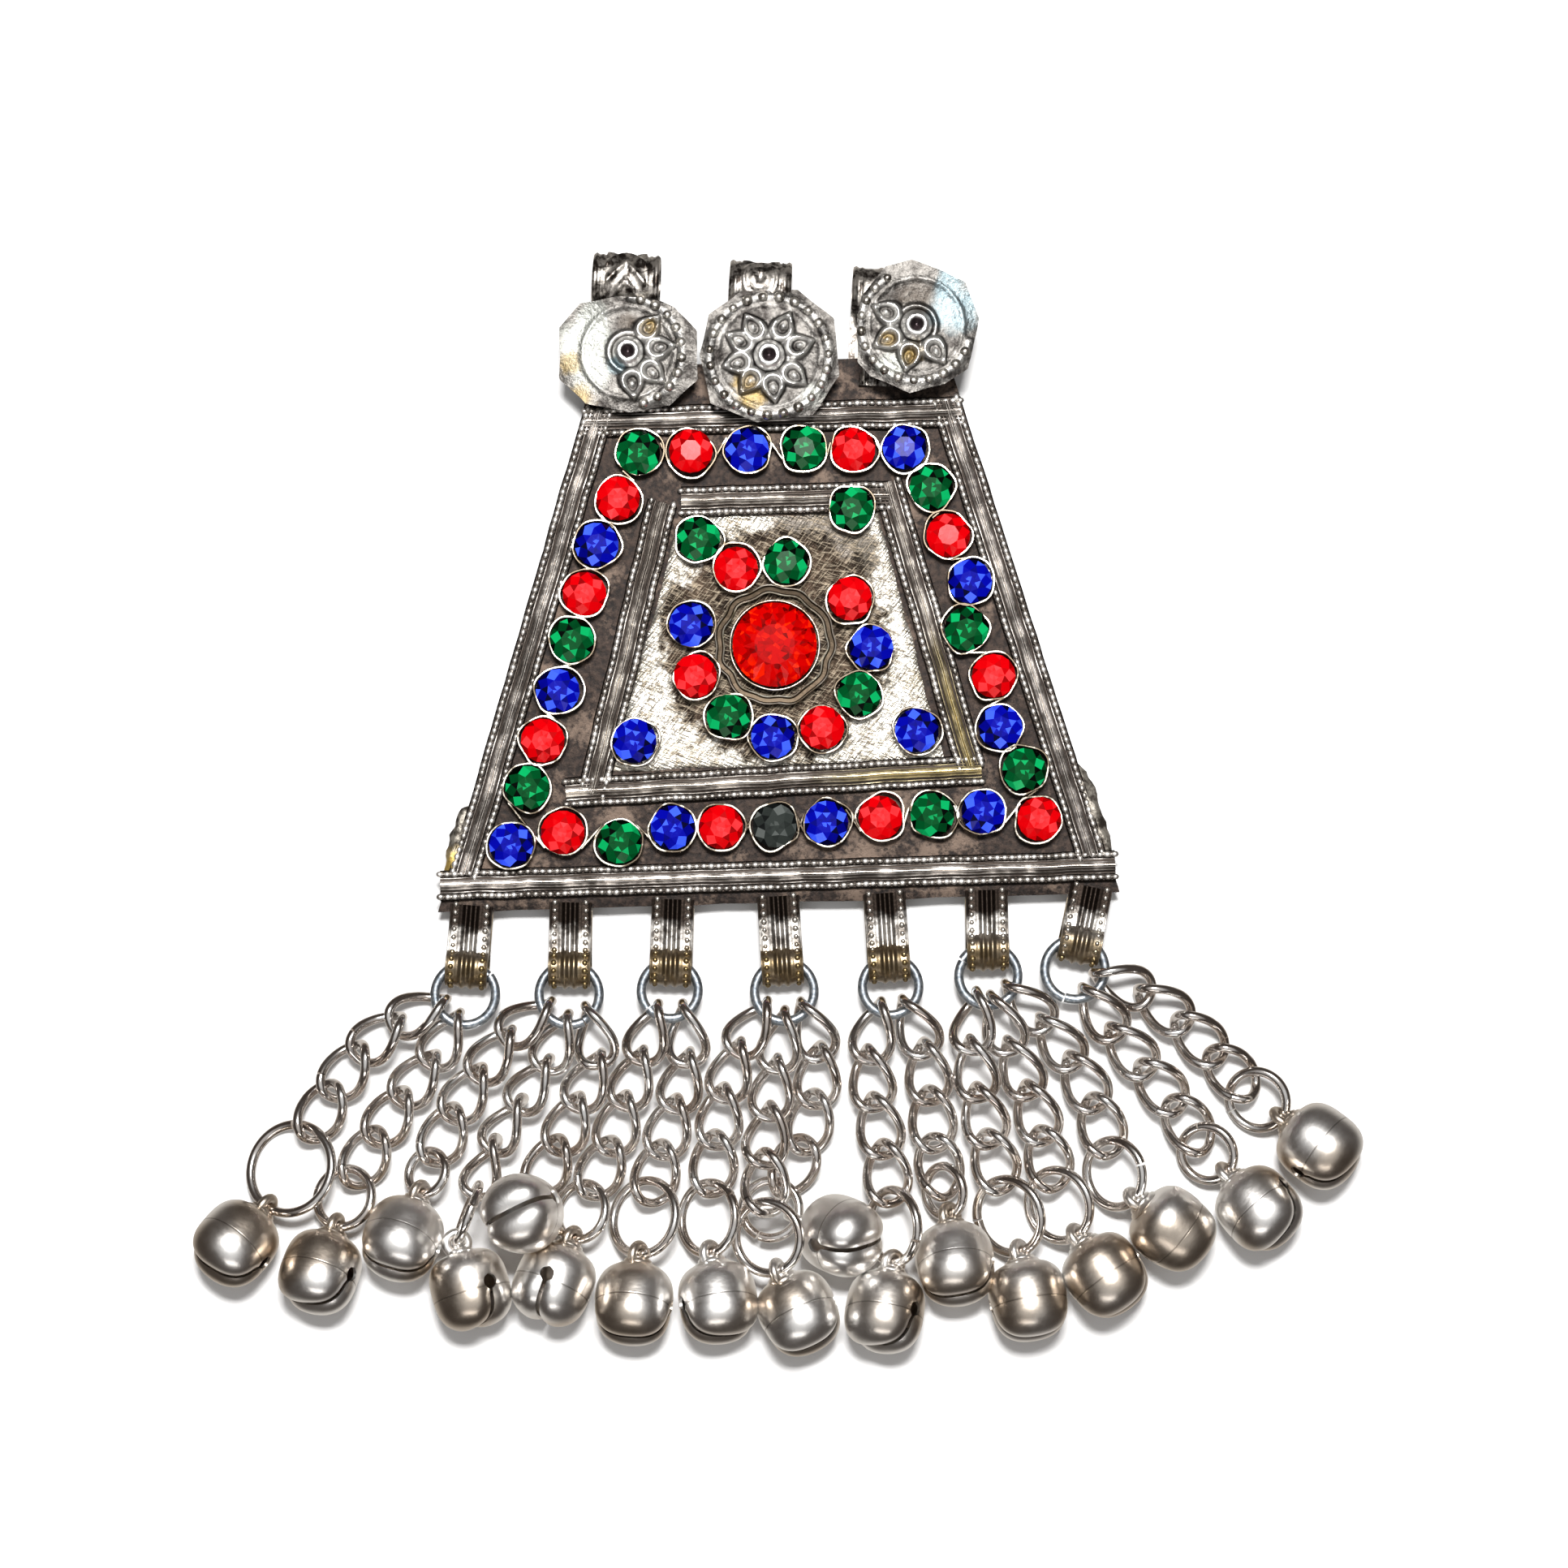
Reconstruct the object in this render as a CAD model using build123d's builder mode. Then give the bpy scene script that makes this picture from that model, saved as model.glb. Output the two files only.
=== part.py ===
from build123d import *
import math
import os

os.makedirs("parts", exist_ok=True)

# A pendant lying face up on a level surface, in millimetres. +X runs to the right, +Y
# towards the bails and +Z up. The origin is on the surface, under the middle of the whole
# pendant.

CLEAR = 0.1  # between pieces that only rest on each other

# Base sheet, a trapezoid
SHEET_BOTTOM = 71.2
SHEET_TOP = 36.8
SHEET_HEIGHT = 56.7
SHEET_SKEW = 1.0  # the top edge's middle sits this far to the right
SHEET_THICK = 1.0
SHEET_LIFT = 1.8  # underside above the surface, carried by the bails and bells
SHEET_TURN = 1.7  # degrees
SHEET_X = 0.0
SHEET_Y = -10.1

# Milled strips: two side rails and a half round ridge on a flat band
STRIP_WIDTH = 3.2
STRIP_BAND = 0.35
RAIL_WIDTH = 0.7
RAIL_HEIGHT = 0.45
RIDGE_WIDTH = 1.1
RIDGE_HEIGHT = 0.6
BOTTOM_STRIP_UP = 1.2  # the lower strip's edge above the sheet's bottom edge
TOP_STRIP_DOWN = 4.3  # the upper strip's edge below the sheet's top edge

# Inner frame and bright panel
PANEL_THICK = 0.3

# Stones and their bezels
STONE_SIDES = 8
STONE_RADIUS = 2.3
STONE_TABLE = 1.35
STONE_GIRDLE = 1.5
STONE_CROWN = 0.65
BEZEL_WALL = 0.25
BEZEL_HEIGHT = 1.5
WEB_WALL = 0.3
WEB_HEIGHT = 1.1
CENTRE_STONE_RADIUS = 4.4
CENTRE_STONE_TABLE = 2.7
CENTRE_GIRDLE = 1.9
CENTRE_CROWN = 1.0
COLLAR_INNER = 5.35
COLLAR_OUTER = 6.3
COLLAR_HEIGHT = 1.3
COLLAR_SCALLOPS = 22

# Solder lumps outside the lower corners
LUMP_RADIUS = 1.1
LEFT_LUMP_LENGTH = 5.6
RIGHT_LUMP_LENGTH = 8.4

# Bails and rosette discs
BAIL_RADIUS = 2.95
BAIL_WALL = 0.7
BAIL_GRIP = 3.0  # the legs reach this far over the sheet
BAIL_RISE = 7.57  # the eyes' common line above the top edge, over the middle of the sheet
BAIL_SLOPE = -4.7  # degrees, that line's turn from the top edge
PAD_RADIUS = 1.3  # solder between the front leg and the disc
DISC_RADIUS = 7.2
DISC_THICK = 0.8
BOSS_RADIUS = 1.7
LEAF_LENGTH = 2.5
LEAF_WIDTH = 1.6
LEAF_HEIGHT = 0.55
LEAF_TAPER = 0.45  # top of a leaf as a share of its foot
LEAF_RADIUS = 3.4  # leaf's middle from the disc's centre
RIM_RING_WIDTH = 0.6
RIM_RING_HEIGHT = 0.45
BEAD_RADIUS = 0.48
BEADS_ROUND = 24  # beads in a full circle

# Strip loops on the bottom edge
LOOP_WIDTH = 4.4
LOOP_WALL = 0.6
LOOP_RADIUS = 2.1
LOOP_GRIP = 0.65  # the legs reach this far over the sheet

# Jump rings
JUMP_WIRE = 0.9
JUMP_HEIGHT = 2.72
JUMP_SEAT = 0.35  # top of the ring's wire centre beyond the loop's axis

# Curb links
LINK_WIRE = 1.25
LINK_LENGTH = 7.7
LINK_WIDTH = 5.6
LINK_NARROW = 0.55  # width of an end as a share of the full width
LINK_SHOULDER = 1.3
LINK_TWIST = 52  # degrees from the middle of a link to its end
LINK_GAP = 0.2
BEND_SHARE = 0.47  # of the shorter run, taken by each bend
HOOK_PULL = 0.6  # how far a first link follows its ring's radius
ROUTE_STEP = 0.002

# End rings
END_WIRE = 0.8

# Jingle bells
BELL_RADIUS = 4.2
BELL_WALL = 0.4
SLIT_WIDTH = 0.5
SLIT_HOLE = 0.8
SHANK_RADIUS = 1.1
SHANK_WIRE = 0.7
SHANK_REACH = 5.05  # shank loop's centre from the bell's centre
LOOP_REACH = 5.15  # end ring's wire from the bell's centre
SHANK_COLLAR = 1.2  # radius of the collar under the loop
SHANK_COLLAR_HEIGHT = 0.35

# Stones on the sheet: colour, place across as a share of half the bottom width, place up
# as a share of the height
OUTER_STONES = (
    ("green", -0.37, 0.835), ("red", -0.217, 0.835), ("blue", -0.052, 0.835),
    ("green", 0.115, 0.835), ("red", 0.26, 0.83), ("blue", 0.41, 0.83),
    ("green", 0.484, 0.755), ("red", 0.53, 0.665), ("blue", 0.59, 0.58),
    ("green", 0.575, 0.493), ("red", 0.65, 0.404), ("blue", 0.664, 0.31),
    ("green", 0.73, 0.23), ("red", 0.77, 0.14), ("blue", 0.606, 0.155),
    ("green", 0.457, 0.153), ("red", 0.307, 0.15), ("blue", 0.147, 0.143),
    ("dark", -0.004, 0.142), ("red", -0.16, 0.142), ("blue", -0.302, 0.144),
    ("green", -0.459, 0.12), ("red", -0.623, 0.14), ("blue", -0.777, 0.12),
    ("green", -0.725, 0.224), ("red", -0.674, 0.31), ("blue", -0.627, 0.4),
    ("green", -0.582, 0.493), ("red", -0.542, 0.578), ("blue", -0.502, 0.668),
    ("red", -0.435, 0.752),
)
# Stones round the centre, and the two in the panel's lower corners
INNER_STONES = (
    ("green", -0.203, 0.673), ("red", -0.094, 0.616), ("green", 0.052, 0.625),
    ("green", 0.25, 0.72), ("red", 0.238, 0.554), ("blue", 0.295, 0.463),
    ("green", 0.256, 0.378), ("red", 0.145, 0.318), ("blue", 0.0, 0.304),
    ("green", -0.13, 0.344), ("red", -0.222, 0.42), ("blue", -0.23, 0.514),
)
CORNER_STONES = (("blue", -0.407, 0.304), ("blue", 0.422, 0.308))
CENTRE_STONE = (0.012, 0.473)
# Bezels drawn out to a point: which outer stone, direction of the point in degrees
POINTED_BEZELS = ((19, 0), (18, 180), (16, 180))
BEZEL_POINT = 1.1  # the point beyond the round wall

# Inner frame strips: from and to, as shares of half the bottom width and of the height
FRAME_STRIPS = (
    ((-0.25, 0.716), (0.36, 0.716)),
    ((-0.35, 0.751), (-0.58, 0.217)),
    ((0.62, 0.247), (0.4, 0.776)),
    ((-0.612, 0.185), (0.608, 0.205)),
)
# Panel corners, the same shares
PANEL = ((-0.256, 0.716), (0.328, 0.716), (0.503, 0.25), (-0.483, 0.25))

# Hangers. Columns: name; bail's place along the top edge as a share of half its length and
# its width; disc's place along the edge, its centre above the edge, its underside above the
# surface and its tilt in degrees; outline as shares of the disc's radius; directions of the
# leaves; ring of beads: its radius as a share, first angle, beads
HANGERS = (
    ("left", -0.815, 7.0, -0.81, 1.1, 4.7, -2,
     ((-0.99, 0.39), (-0.68, 0.73), (-0.07, 0.81), (0.42, 0.76), (0.69, 0.62), (1.01, 0.27),
      (0.99, -0.44), (0.58, -0.79), (-0.01, -0.87), (-0.64, -0.73), (-1.01, -0.35)),
     (48, 6, -42, -84), 0.74, -75, 11),
    ("middle", -0.054, 6.5, -0.016, 0.2, 5.3, 1,
     ((-0.38, 0.95), (0.44, 0.95), (0.96, 0.51), (1.01, -0.32), (0.61, -0.88), (-0.21, -0.96),
      (-0.86, -0.67), (-1.0, 0.04), (-0.85, 0.62)),
     (118, 62, 17, -40, -84, -128, -168, 152), 0.82, 0, 24),
    ("right", 0.63, 6.0, 0.82, 2.8, 6.1, 2,
     ((-0.41, 0.87), (-0.04, 0.96), (0.38, 0.79), (0.73, 0.61), (0.92, 0.08), (0.73, -0.65),
      (0.38, -0.86), (-0.12, -0.98), (-0.68, -0.72), (-0.86, -0.51), (-0.86, 0.08), (-0.78, 0.44)),
     (205, 255, 305, 155), 0.76, 120, 15),
)

# Where each loop leaves the bottom edge, as a share of half its length
LOOP_PLACES = (-0.9, -0.609, -0.309, 0.0, 0.312, 0.611, 0.916)

# Jump rings on the surface: centre and outer diameter
JUMP_RINGS = (
    (-32.7, -19.7, 7.2), (-21.8, -19.7, 7.2), (-11.3, -19.3, 6.8), (0.6, -19.4, 7.1),
    (11.7, -18.9, 6.8), (21.9, -17.8, 7.1), (31.0, -17.1, 7.2),
)

# Strands as they lie. Columns: name, jump ring, where the strand leaves it, points of the
# route, heights of the five crossings, roll of the four links, end ring towards, its
# diameter, lean and slack, height of the bell's loop, bell towards, bell's height, where
# the bell's loop hangs, slit turn, tip of the bell
STRANDS = (
    ("1a", 1, (-37.5, -21.2), ((-39.4, -22.3), (-43.6, -25.6), (-46.6, -29.9)),
     (2.95, 3.1, 2.6, 2.2, 2.1), (38, 28, 16, 4),
     (-50.9, -38.0), 10.2, -25, 0, 2.7, (-57.0, -46.2), 4.2, None, 20, 12),
    ("1b", 1, (-34.3, -24.1), ((-35.7, -26.1), (-38.9, -30.0), (-41.7, -34.2)),
     (2.85, 2.6, 2.25, 1.95, 1.75), (38, 28, 16, 4),
     (-45.5, -41.3), 7.0, -25, 0.4, 2.4, (-47.7, -48.8), 4.2, None, 33, 12),
    ("2a", 2, (-25.8, -21.7), ((-28.0, -23.7), (-30.9, -27.6), (-33.4, -31.3)),
     (3.05, 3.6, 3.5, 3.1, 2.6), (42, 36, 26, 12),
     (-36.6, -38.2), 5.4, -35, 0, 2.9, (-39.0, -44.8), 4.2, None, 9, 24),
    ("2b", 2, (-22.5, -24.1), ((-24.5, -27.6), (-27.4, -31.6), (-29.8, -35.6)),
     (2.9, 2.9, 2.9, 2.9, 3.4), (42, 46, 52, 54),
     (-32.2, -42.2), 7.2, -84, 0, 4.2, (-31.7, -51.0), 4.2, None, 52, 9),
    ("2c", 2, (-18.5, -23.2), ((-18.1, -25.2), (-20.2, -29.2), (-21.7, -33.4)),
     (2.85, 3.5, 3.7, 3.2, 2.4), (42, 36, 26, 12),
     (-25.0, -39.7), 7.6, -25, 0, 1.6, (-27.3, -41.7), 7.5, (-25.2, -43.5), -35, 22),
    ("3a", 3, (-13.9, -23.3), ((-14.2, -25.9), (-15.8, -30.3), (-16.9, -34.6)),
     (2.95, 3.1, 3.0, 2.7, 2.5), (42, 36, 26, 12),
     (-20.1, -41.4), 6.8, -35, 0, 2.7, (-23.3, -49.6), 4.2, None, 104, 4),
    ("3b", 3, (-8.8, -23.3), ((-9.2, -25.6), (-10.4, -30.3), (-11.7, -34.6)),
     (2.9, 2.8, 2.7, 2.4, 2.3), (42, 36, 26, 12),
     (-13.8, -42.3), 8.6, -35, 1.1, 3.2, (-15.1, -52.3), 4.2, None, 4, 20),
    ("4a", 4, (-2.7, -22.1), ((-4.1, -25.2), (-5.6, -29.9), (-6.4, -34.6)),
     (3.0, 3.6, 3.4, 2.9, 2.6), (42, 36, 26, 12),
     (-7.3, -43.1), 8.2, -40, 0, 3.2, (-6.1, -52.2), 4.2, None, -22, 20),
    ("4b", 4, (0.5, -24.4), ((-0.1, -26.5), (-0.9, -31.2), (-1.5, -36.3)),
     (2.9, 2.9, 3.1, 4.2, 5.1), (42, 38, 30, 14),
     (-1.2, -42.8), 8.2, -25, 0, 5.0, (2.9, -54.3), 4.2, None, 0, 36),
    ("4c", 4, (4.0, -22.5), ((4.6, -26.1), (3.8, -31.2), (2.4, -36.7)),
     (2.85, 2.5, 2.1, 1.9, 1.9), (38, 28, 12, -6),
     (-2.0, -44.2), 6.8, -14, 0, 2.2, (5.7, -44.4), 4.2, None, -65, 27),
    ("5a", 5, (9.8, -22.8), ((9.4, -25.2), (9.9, -30.3), (11.0, -35.4)),
     (2.95, 3.0, 2.7, 2.8, 3.0), (38, 30, 22, 16),
     (12.0, -44.1), 8.4, -50, 0.2, 4.0, (10.9, -53.4), 4.2, None, 42, 16),
    ("5b", 5, (14.3, -22.2), ((15.3, -24.8), (15.9, -29.5), (16.0, -33.7)),
     (2.85, 2.6, 2.3, 2.1, 2.2), (38, 28, 14, 0),
     (17.4, -40.6), 6.0, -42, 2.0, 2.9, (18.3, -46.8), 4.2, None, 8, 20),
    ("6a", 6, (20.1, -21.2), ((20.0, -24.4), (20.7, -29.0), (21.7, -33.4)),
     (3.0, 4.0, 3.9, 3.3, 2.7), (42, 36, 26, 12),
     (23.6, -41.0), 8.6, -35, 0, 2.9, (26.05, -51.7), 4.2, None, -4, 4),
    ("6b", 6, (22.8, -22.1), ((24.0, -24.7), (25.9, -28.9), (27.4, -33.3)),
     (3.0, 3.3, 3.3, 3.0, 2.6), (42, 36, 26, 12),
     (29.1, -41.0), 8.2, -35, 0.7, 2.7, (34.4, -49.4), 4.2, None, 5, 6),
    ("6c", 6, (26.2, -20.3), ((28.5, -23.3), (31.3, -27.4), (33.5, -31.8)),
     (2.85, 2.6, 2.5, 2.4, 2.4), (42, 36, 26, 12),
     (35.3, -39.4), 7.8, -38, 0.3, 3.0, (42.2, -45.0), 4.2, None, -5, -8),
    ("7a", 7, (33.4, -21.8), ((35.3, -23.8), (38.4, -27.4), (41.4, -31.0)),
     (2.95, 2.9, 2.5, 2.1, 1.9), (38, 28, 16, 4),
     (44.9, -36.5), 6.6, -25, 1.3, 2.4, (50.0, -42.0), 4.2, None, 22, 8),
    ("7b", 7, (36.6, -18.5), ((39.0, -19.8), (42.5, -22.7), (45.8, -26.1)),
     (2.85, 2.6, 2.25, 1.95, 1.75), (38, 28, 16, 4),
     (50.5, -31.2), 7.0, -25, 1.2, 2.4, (56.8, -35.8), 4.2, None, -24, 2),
)

UP = Vector(0, 0, 1)
STANDING = (Align.CENTER, Align.CENTER, Align.MIN)
SHEET_FACE = SHEET_LIFT + SHEET_THICK
SHEET_MIDDLE = SHEET_LIFT + SHEET_THICK / 2
PANEL_FACE = SHEET_FACE + PANEL_THICK
POCKET_RADIUS = STONE_RADIUS + CLEAR
BEZEL_RADIUS = POCKET_RADIUS + BEZEL_WALL
FRONT_LEG = SHEET_FACE + CLEAR  # undersides of the legs that grip the sheet
BACK_LEG = SHEET_LIFT - CLEAR


def sheet_plane(height):
    """The sheet's own plane, its origin in the middle of the bottom edge."""
    turn = math.radians(SHEET_TURN)
    origin = (SHEET_X, SHEET_Y, height)
    return Plane(origin=origin, x_dir=(math.cos(turn), math.sin(turn), 0), z_dir=(0, 0, 1))


def from_sheet(place, height):
    """Point in space over a plan point of the sheet."""
    return sheet_plane(height).from_local_coords(Vector(place[0], place[1], 0))


def on_sheet(across, up):
    """Plan point on the sheet from shares of half the bottom width and of the height."""
    return (across * SHEET_BOTTOM / 2, up * SHEET_HEIGHT)


def on_top_edge(share, rise):
    """Plan point above the sheet's top edge, by a share of half its length."""
    return (SHEET_SKEW + share * SHEET_TOP / 2, SHEET_HEIGHT + rise)


def on_side_edge(side, height):
    """Plan point on the left (-1) or right (+1) edge at a height above the bottom edge."""
    low = side * SHEET_BOTTOM / 2
    high = SHEET_SKEW + side * SHEET_TOP / 2
    return (low + (high - low) * height / SHEET_HEIGHT, height)


def sheet_outline():
    """The sheet's four corners."""
    low = [on_side_edge(side, 0) for side in (-1, 1)]
    high = [on_side_edge(side, SHEET_HEIGHT) for side in (1, -1)]
    return low + high


def milled_strip(start, end):
    """A strip with two rails and a ridge, to the left of the line from start to end."""
    foot = from_sheet(start, SHEET_FACE)
    run = from_sheet(end, SHEET_FACE) - foot
    rail_places = (RAIL_WIDTH / 2, STRIP_WIDTH - RAIL_WIDTH / 2)
    below = (Align.CENTER, Align.MAX)
    with BuildSketch(Plane(origin=foot, x_dir=UP.cross(run), z_dir=run)) as section:
        with Locations(*[(place, STRIP_BAND) for place in rail_places]):
            Ellipse(RAIL_WIDTH / 2, RAIL_HEIGHT)
        with Locations((STRIP_WIDTH / 2, STRIP_BAND)):
            Ellipse(RIDGE_WIDTH / 2, RIDGE_HEIGHT)
        with Locations((STRIP_WIDTH / 2, STRIP_BAND)):
            Rectangle(STRIP_WIDTH, RIDGE_HEIGHT, align=below, mode=Mode.SUBTRACT)
        with Locations((STRIP_WIDTH / 2, 0)):
            Rectangle(STRIP_WIDTH, STRIP_BAND, align=(Align.CENTER, Align.MIN))
    extrude(section.sketch, amount=run.length)


def places_of(stones):
    """Plan points of the stones in a table."""
    return [on_sheet(across, up) for colour, across, up in stones]


def web(first, last):
    """A thin standing wall from one bezel to the next."""
    step = Vector(*last) - Vector(*first)
    middle = Vector(*first) + step / 2
    direction = math.degrees(math.atan2(step.Y, step.X))
    with Locations(Location((middle.X, middle.Y, 0), (0, 0, direction))):
        Rectangle(step.length, WEB_WALL)


def bezel_point(place, direction):
    """The pointed end of a bezel, between two tangents of its round wall."""
    reach = BEZEL_RADIUS + BEZEL_POINT
    spread = math.acos(BEZEL_RADIUS / reach)
    side = (BEZEL_RADIUS * math.cos(spread), BEZEL_RADIUS * math.sin(spread))
    with Locations(Location((place[0], place[1], 0), (0, 0, direction))):
        Polygon((0, 0), (side[0], -side[1]), (reach, 0), side, align=None)


def solder_lump(side, low, length):
    """A round ended lump of solder along the outside of a side edge."""
    foot = from_sheet(on_side_edge(side, low), SHEET_MIDDLE)
    run = from_sheet(on_side_edge(side, low + length), SHEET_MIDDLE) - foot
    with Locations(Plane(origin=foot, z_dir=run)):
        Cylinder(LUMP_RADIUS, run.length, align=STANDING)
        Sphere(LUMP_RADIUS)
    with Locations(Plane(origin=foot + run, z_dir=run)):
        Sphere(LUMP_RADIUS)


# Base plate: sheet, strips, panel, bezels, collar and lumps in one soldered solid
with BuildPart() as base_plate:
    with BuildSketch(sheet_plane(SHEET_LIFT)):
        Polygon(*sheet_outline(), align=None)
    extrude(amount=SHEET_THICK)
    with BuildSketch(sheet_plane(SHEET_FACE)):
        Polygon(*[on_sheet(across, up) for across, up in PANEL], align=None)
    extrude(amount=PANEL_THICK)

    side_low = BOTTOM_STRIP_UP + STRIP_WIDTH
    side_high = SHEET_HEIGHT - TOP_STRIP_DOWN
    milled_strip(on_side_edge(-1, BOTTOM_STRIP_UP), on_side_edge(1, BOTTOM_STRIP_UP))
    milled_strip(on_side_edge(1, side_low), on_side_edge(1, side_high))
    milled_strip(on_side_edge(1, side_high), on_side_edge(-1, side_high))
    milled_strip(on_side_edge(-1, side_high), on_side_edge(-1, side_low))
    for strip_start, strip_end in FRAME_STRIPS:
        milled_strip(on_sheet(*strip_start), on_sheet(*strip_end))

    # the strips' square ends are cut flush with the sheet's outline
    with BuildSketch(sheet_plane(SHEET_FACE)):
        with Locations((0, SHEET_HEIGHT / 2)):
            Rectangle(SHEET_BOTTOM + 4 * STRIP_WIDTH, SHEET_HEIGHT + 4 * STRIP_WIDTH)
        Polygon(*sheet_outline(), align=None, mode=Mode.SUBTRACT)
    extrude(amount=STRIP_BAND + RAIL_HEIGHT + RIDGE_HEIGHT, mode=Mode.SUBTRACT)

    outer_places = places_of(OUTER_STONES)
    inner_places = places_of(INNER_STONES + CORNER_STONES)
    with BuildSketch(sheet_plane(SHEET_FACE)):
        for index, place in enumerate(outer_places):
            web(outer_places[index - 1], place)
    extrude(amount=WEB_HEIGHT)
    with BuildSketch(sheet_plane(SHEET_FACE)):
        with Locations(*outer_places):
            Circle(BEZEL_RADIUS)
        for index, direction in POINTED_BEZELS:
            bezel_point(outer_places[index], direction)
    extrude(amount=BEZEL_HEIGHT)
    with BuildSketch(sheet_plane(SHEET_FACE)):
        with Locations(*inner_places):
            Circle(BEZEL_RADIUS)
    extrude(amount=PANEL_THICK + BEZEL_HEIGHT)

    collar_middle = (COLLAR_OUTER + COLLAR_INNER) / 2
    with BuildSketch(sheet_plane(SHEET_FACE)):
        with Locations(on_sheet(*CENTRE_STONE)):
            Circle(collar_middle)
            with PolarLocations(collar_middle, COLLAR_SCALLOPS):
                Circle(COLLAR_OUTER - collar_middle)
            Circle(COLLAR_INNER, mode=Mode.SUBTRACT)
    extrude(amount=PANEL_THICK + COLLAR_HEIGHT)
    with BuildSketch(sheet_plane(SHEET_FACE)):
        with Locations(on_sheet(*CENTRE_STONE)):
            Circle(CENTRE_STONE_RADIUS + CLEAR + BEZEL_WALL)
    extrude(amount=PANEL_THICK + CENTRE_GIRDLE)

    # pockets for the stones
    with BuildSketch(sheet_plane(SHEET_FACE)):
        with Locations(*outer_places):
            Circle(POCKET_RADIUS)
    extrude(amount=PANEL_THICK + BEZEL_HEIGHT, mode=Mode.SUBTRACT)
    with BuildSketch(sheet_plane(PANEL_FACE)):
        with Locations(*inner_places):
            Circle(POCKET_RADIUS)
        with Locations(on_sheet(*CENTRE_STONE)):
            Circle(CENTRE_STONE_RADIUS + CLEAR)
    extrude(amount=BEZEL_HEIGHT + CENTRE_GIRDLE, mode=Mode.SUBTRACT)

    solder_lump(-1, side_low, LEFT_LUMP_LENGTH)
    solder_lump(1, side_low, RIGHT_LUMP_LENGTH)
base_plate.part.label = "base_plate"
export_step(base_plate.part, "parts/base_plate.step")


def cut_stone(place, height, radius, table, girdle, crown):
    """A cut stone: upright sides to the girdle, a ring of crown facets and a table."""
    outlines = []
    levels = ((height, radius), (height + girdle, radius), (height + girdle + crown, table))
    for level, size in levels:
        with BuildSketch(sheet_plane(level)) as outline:
            with Locations(place):
                RegularPolygon(size, STONE_SIDES)
        outlines.append(outline.sketch.face())
    extrude(outlines[0], amount=girdle)
    loft(outlines[1:])


seats = [(stone, SHEET_FACE + CLEAR) for stone in OUTER_STONES]
seats += [(stone, PANEL_FACE + CLEAR) for stone in INNER_STONES + CORNER_STONES]
for stone_colour in ("red", "green", "blue", "dark"):
    with BuildPart() as stones:
        for (colour, across, up), seat in seats:
            if colour == stone_colour:
                place = on_sheet(across, up)
                cut_stone(place, seat, STONE_RADIUS, STONE_TABLE, STONE_GIRDLE, STONE_CROWN)
    stones.part.label = stone_colour + "_stones"
    export_step(stones.part, "parts/" + stone_colour + "_stones.step")

with BuildPart() as centre_stone:
    cut_stone(
        on_sheet(*CENTRE_STONE), PANEL_FACE + CLEAR, CENTRE_STONE_RADIUS, CENTRE_STONE_TABLE,
        CENTRE_GIRDLE, CENTRE_CROWN,
    )
centre_stone.part.label = "centre_stone"
export_step(centre_stone.part, "parts/centre_stone.step")


def bail_place_on(share):
    """Plan point on the sheet of a bail's axis, by a share of half the top edge's length."""
    along = SHEET_SKEW + share * SHEET_TOP / 2
    return (along, SHEET_HEIGHT + BAIL_RISE + along * math.tan(math.radians(BAIL_SLOPE)))


def rolled_strip(middle, outward, reach, width, radius, wall):
    """A strip rolled into an eye, with two legs that reach back over both faces of the sheet."""
    side_view = Plane(origin=middle, x_dir=outward, z_dir=outward.cross(UP))
    lift = middle.Z
    with BuildSketch(side_view) as profile:
        Circle(radius)
        for low, high in ((FRONT_LEG, FRONT_LEG + wall), (BACK_LEG - wall, BACK_LEG)):
            with Locations((0, low - lift)):
                Rectangle(reach, high - low, align=(Align.MAX, Align.MIN))
        with Locations((0, BACK_LEG - lift)):
            Rectangle(reach, FRONT_LEG - BACK_LEG, align=(Align.MAX, Align.MIN), mode=Mode.SUBTRACT)
        Circle(radius - wall, mode=Mode.SUBTRACT)
    extrude(profile.sketch, amount=width / 2, both=True)


def rosette(face, outline, leaves, bead_ring, first, beads):
    """A disc with a boss, raised leaves, a raised ring and a ring of beads."""
    with BuildSketch(face) as disc:
        Polygon(*[(x * DISC_RADIUS, y * DISC_RADIUS) for x, y in outline], align=None)
    extrude(disc.sketch, amount=DISC_THICK)
    front = face.offset(DISC_THICK)
    ring_outer = bead_ring - BEAD_RADIUS
    with BuildSketch(front) as ring:
        Circle(ring_outer)
        Circle(ring_outer - RIM_RING_WIDTH, mode=Mode.SUBTRACT)
    extrude(ring.sketch, amount=RIM_RING_HEIGHT)
    for direction in leaves:
        turn = math.radians(direction)
        leaf_middle = (LEAF_RADIUS * math.cos(turn), LEAF_RADIUS * math.sin(turn), 0)
        place = Location(leaf_middle, (0, 0, direction))
        levels = []
        for height, share in ((0, 1), (LEAF_HEIGHT, LEAF_TAPER)):
            with BuildSketch(front.offset(height)) as leaf:
                with Locations(place):
                    Ellipse(share * LEAF_LENGTH / 2, share * LEAF_WIDTH / 2)
            levels.append(leaf.sketch.face())
        loft(levels)
    with Locations(front):
        Sphere(BOSS_RADIUS)
        for count in range(beads):
            angle = math.radians(first + count * 360 / BEADS_ROUND)
            with Locations((bead_ring * math.cos(angle), bead_ring * math.sin(angle), 0)):
                Sphere(BEAD_RADIUS)


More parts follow.
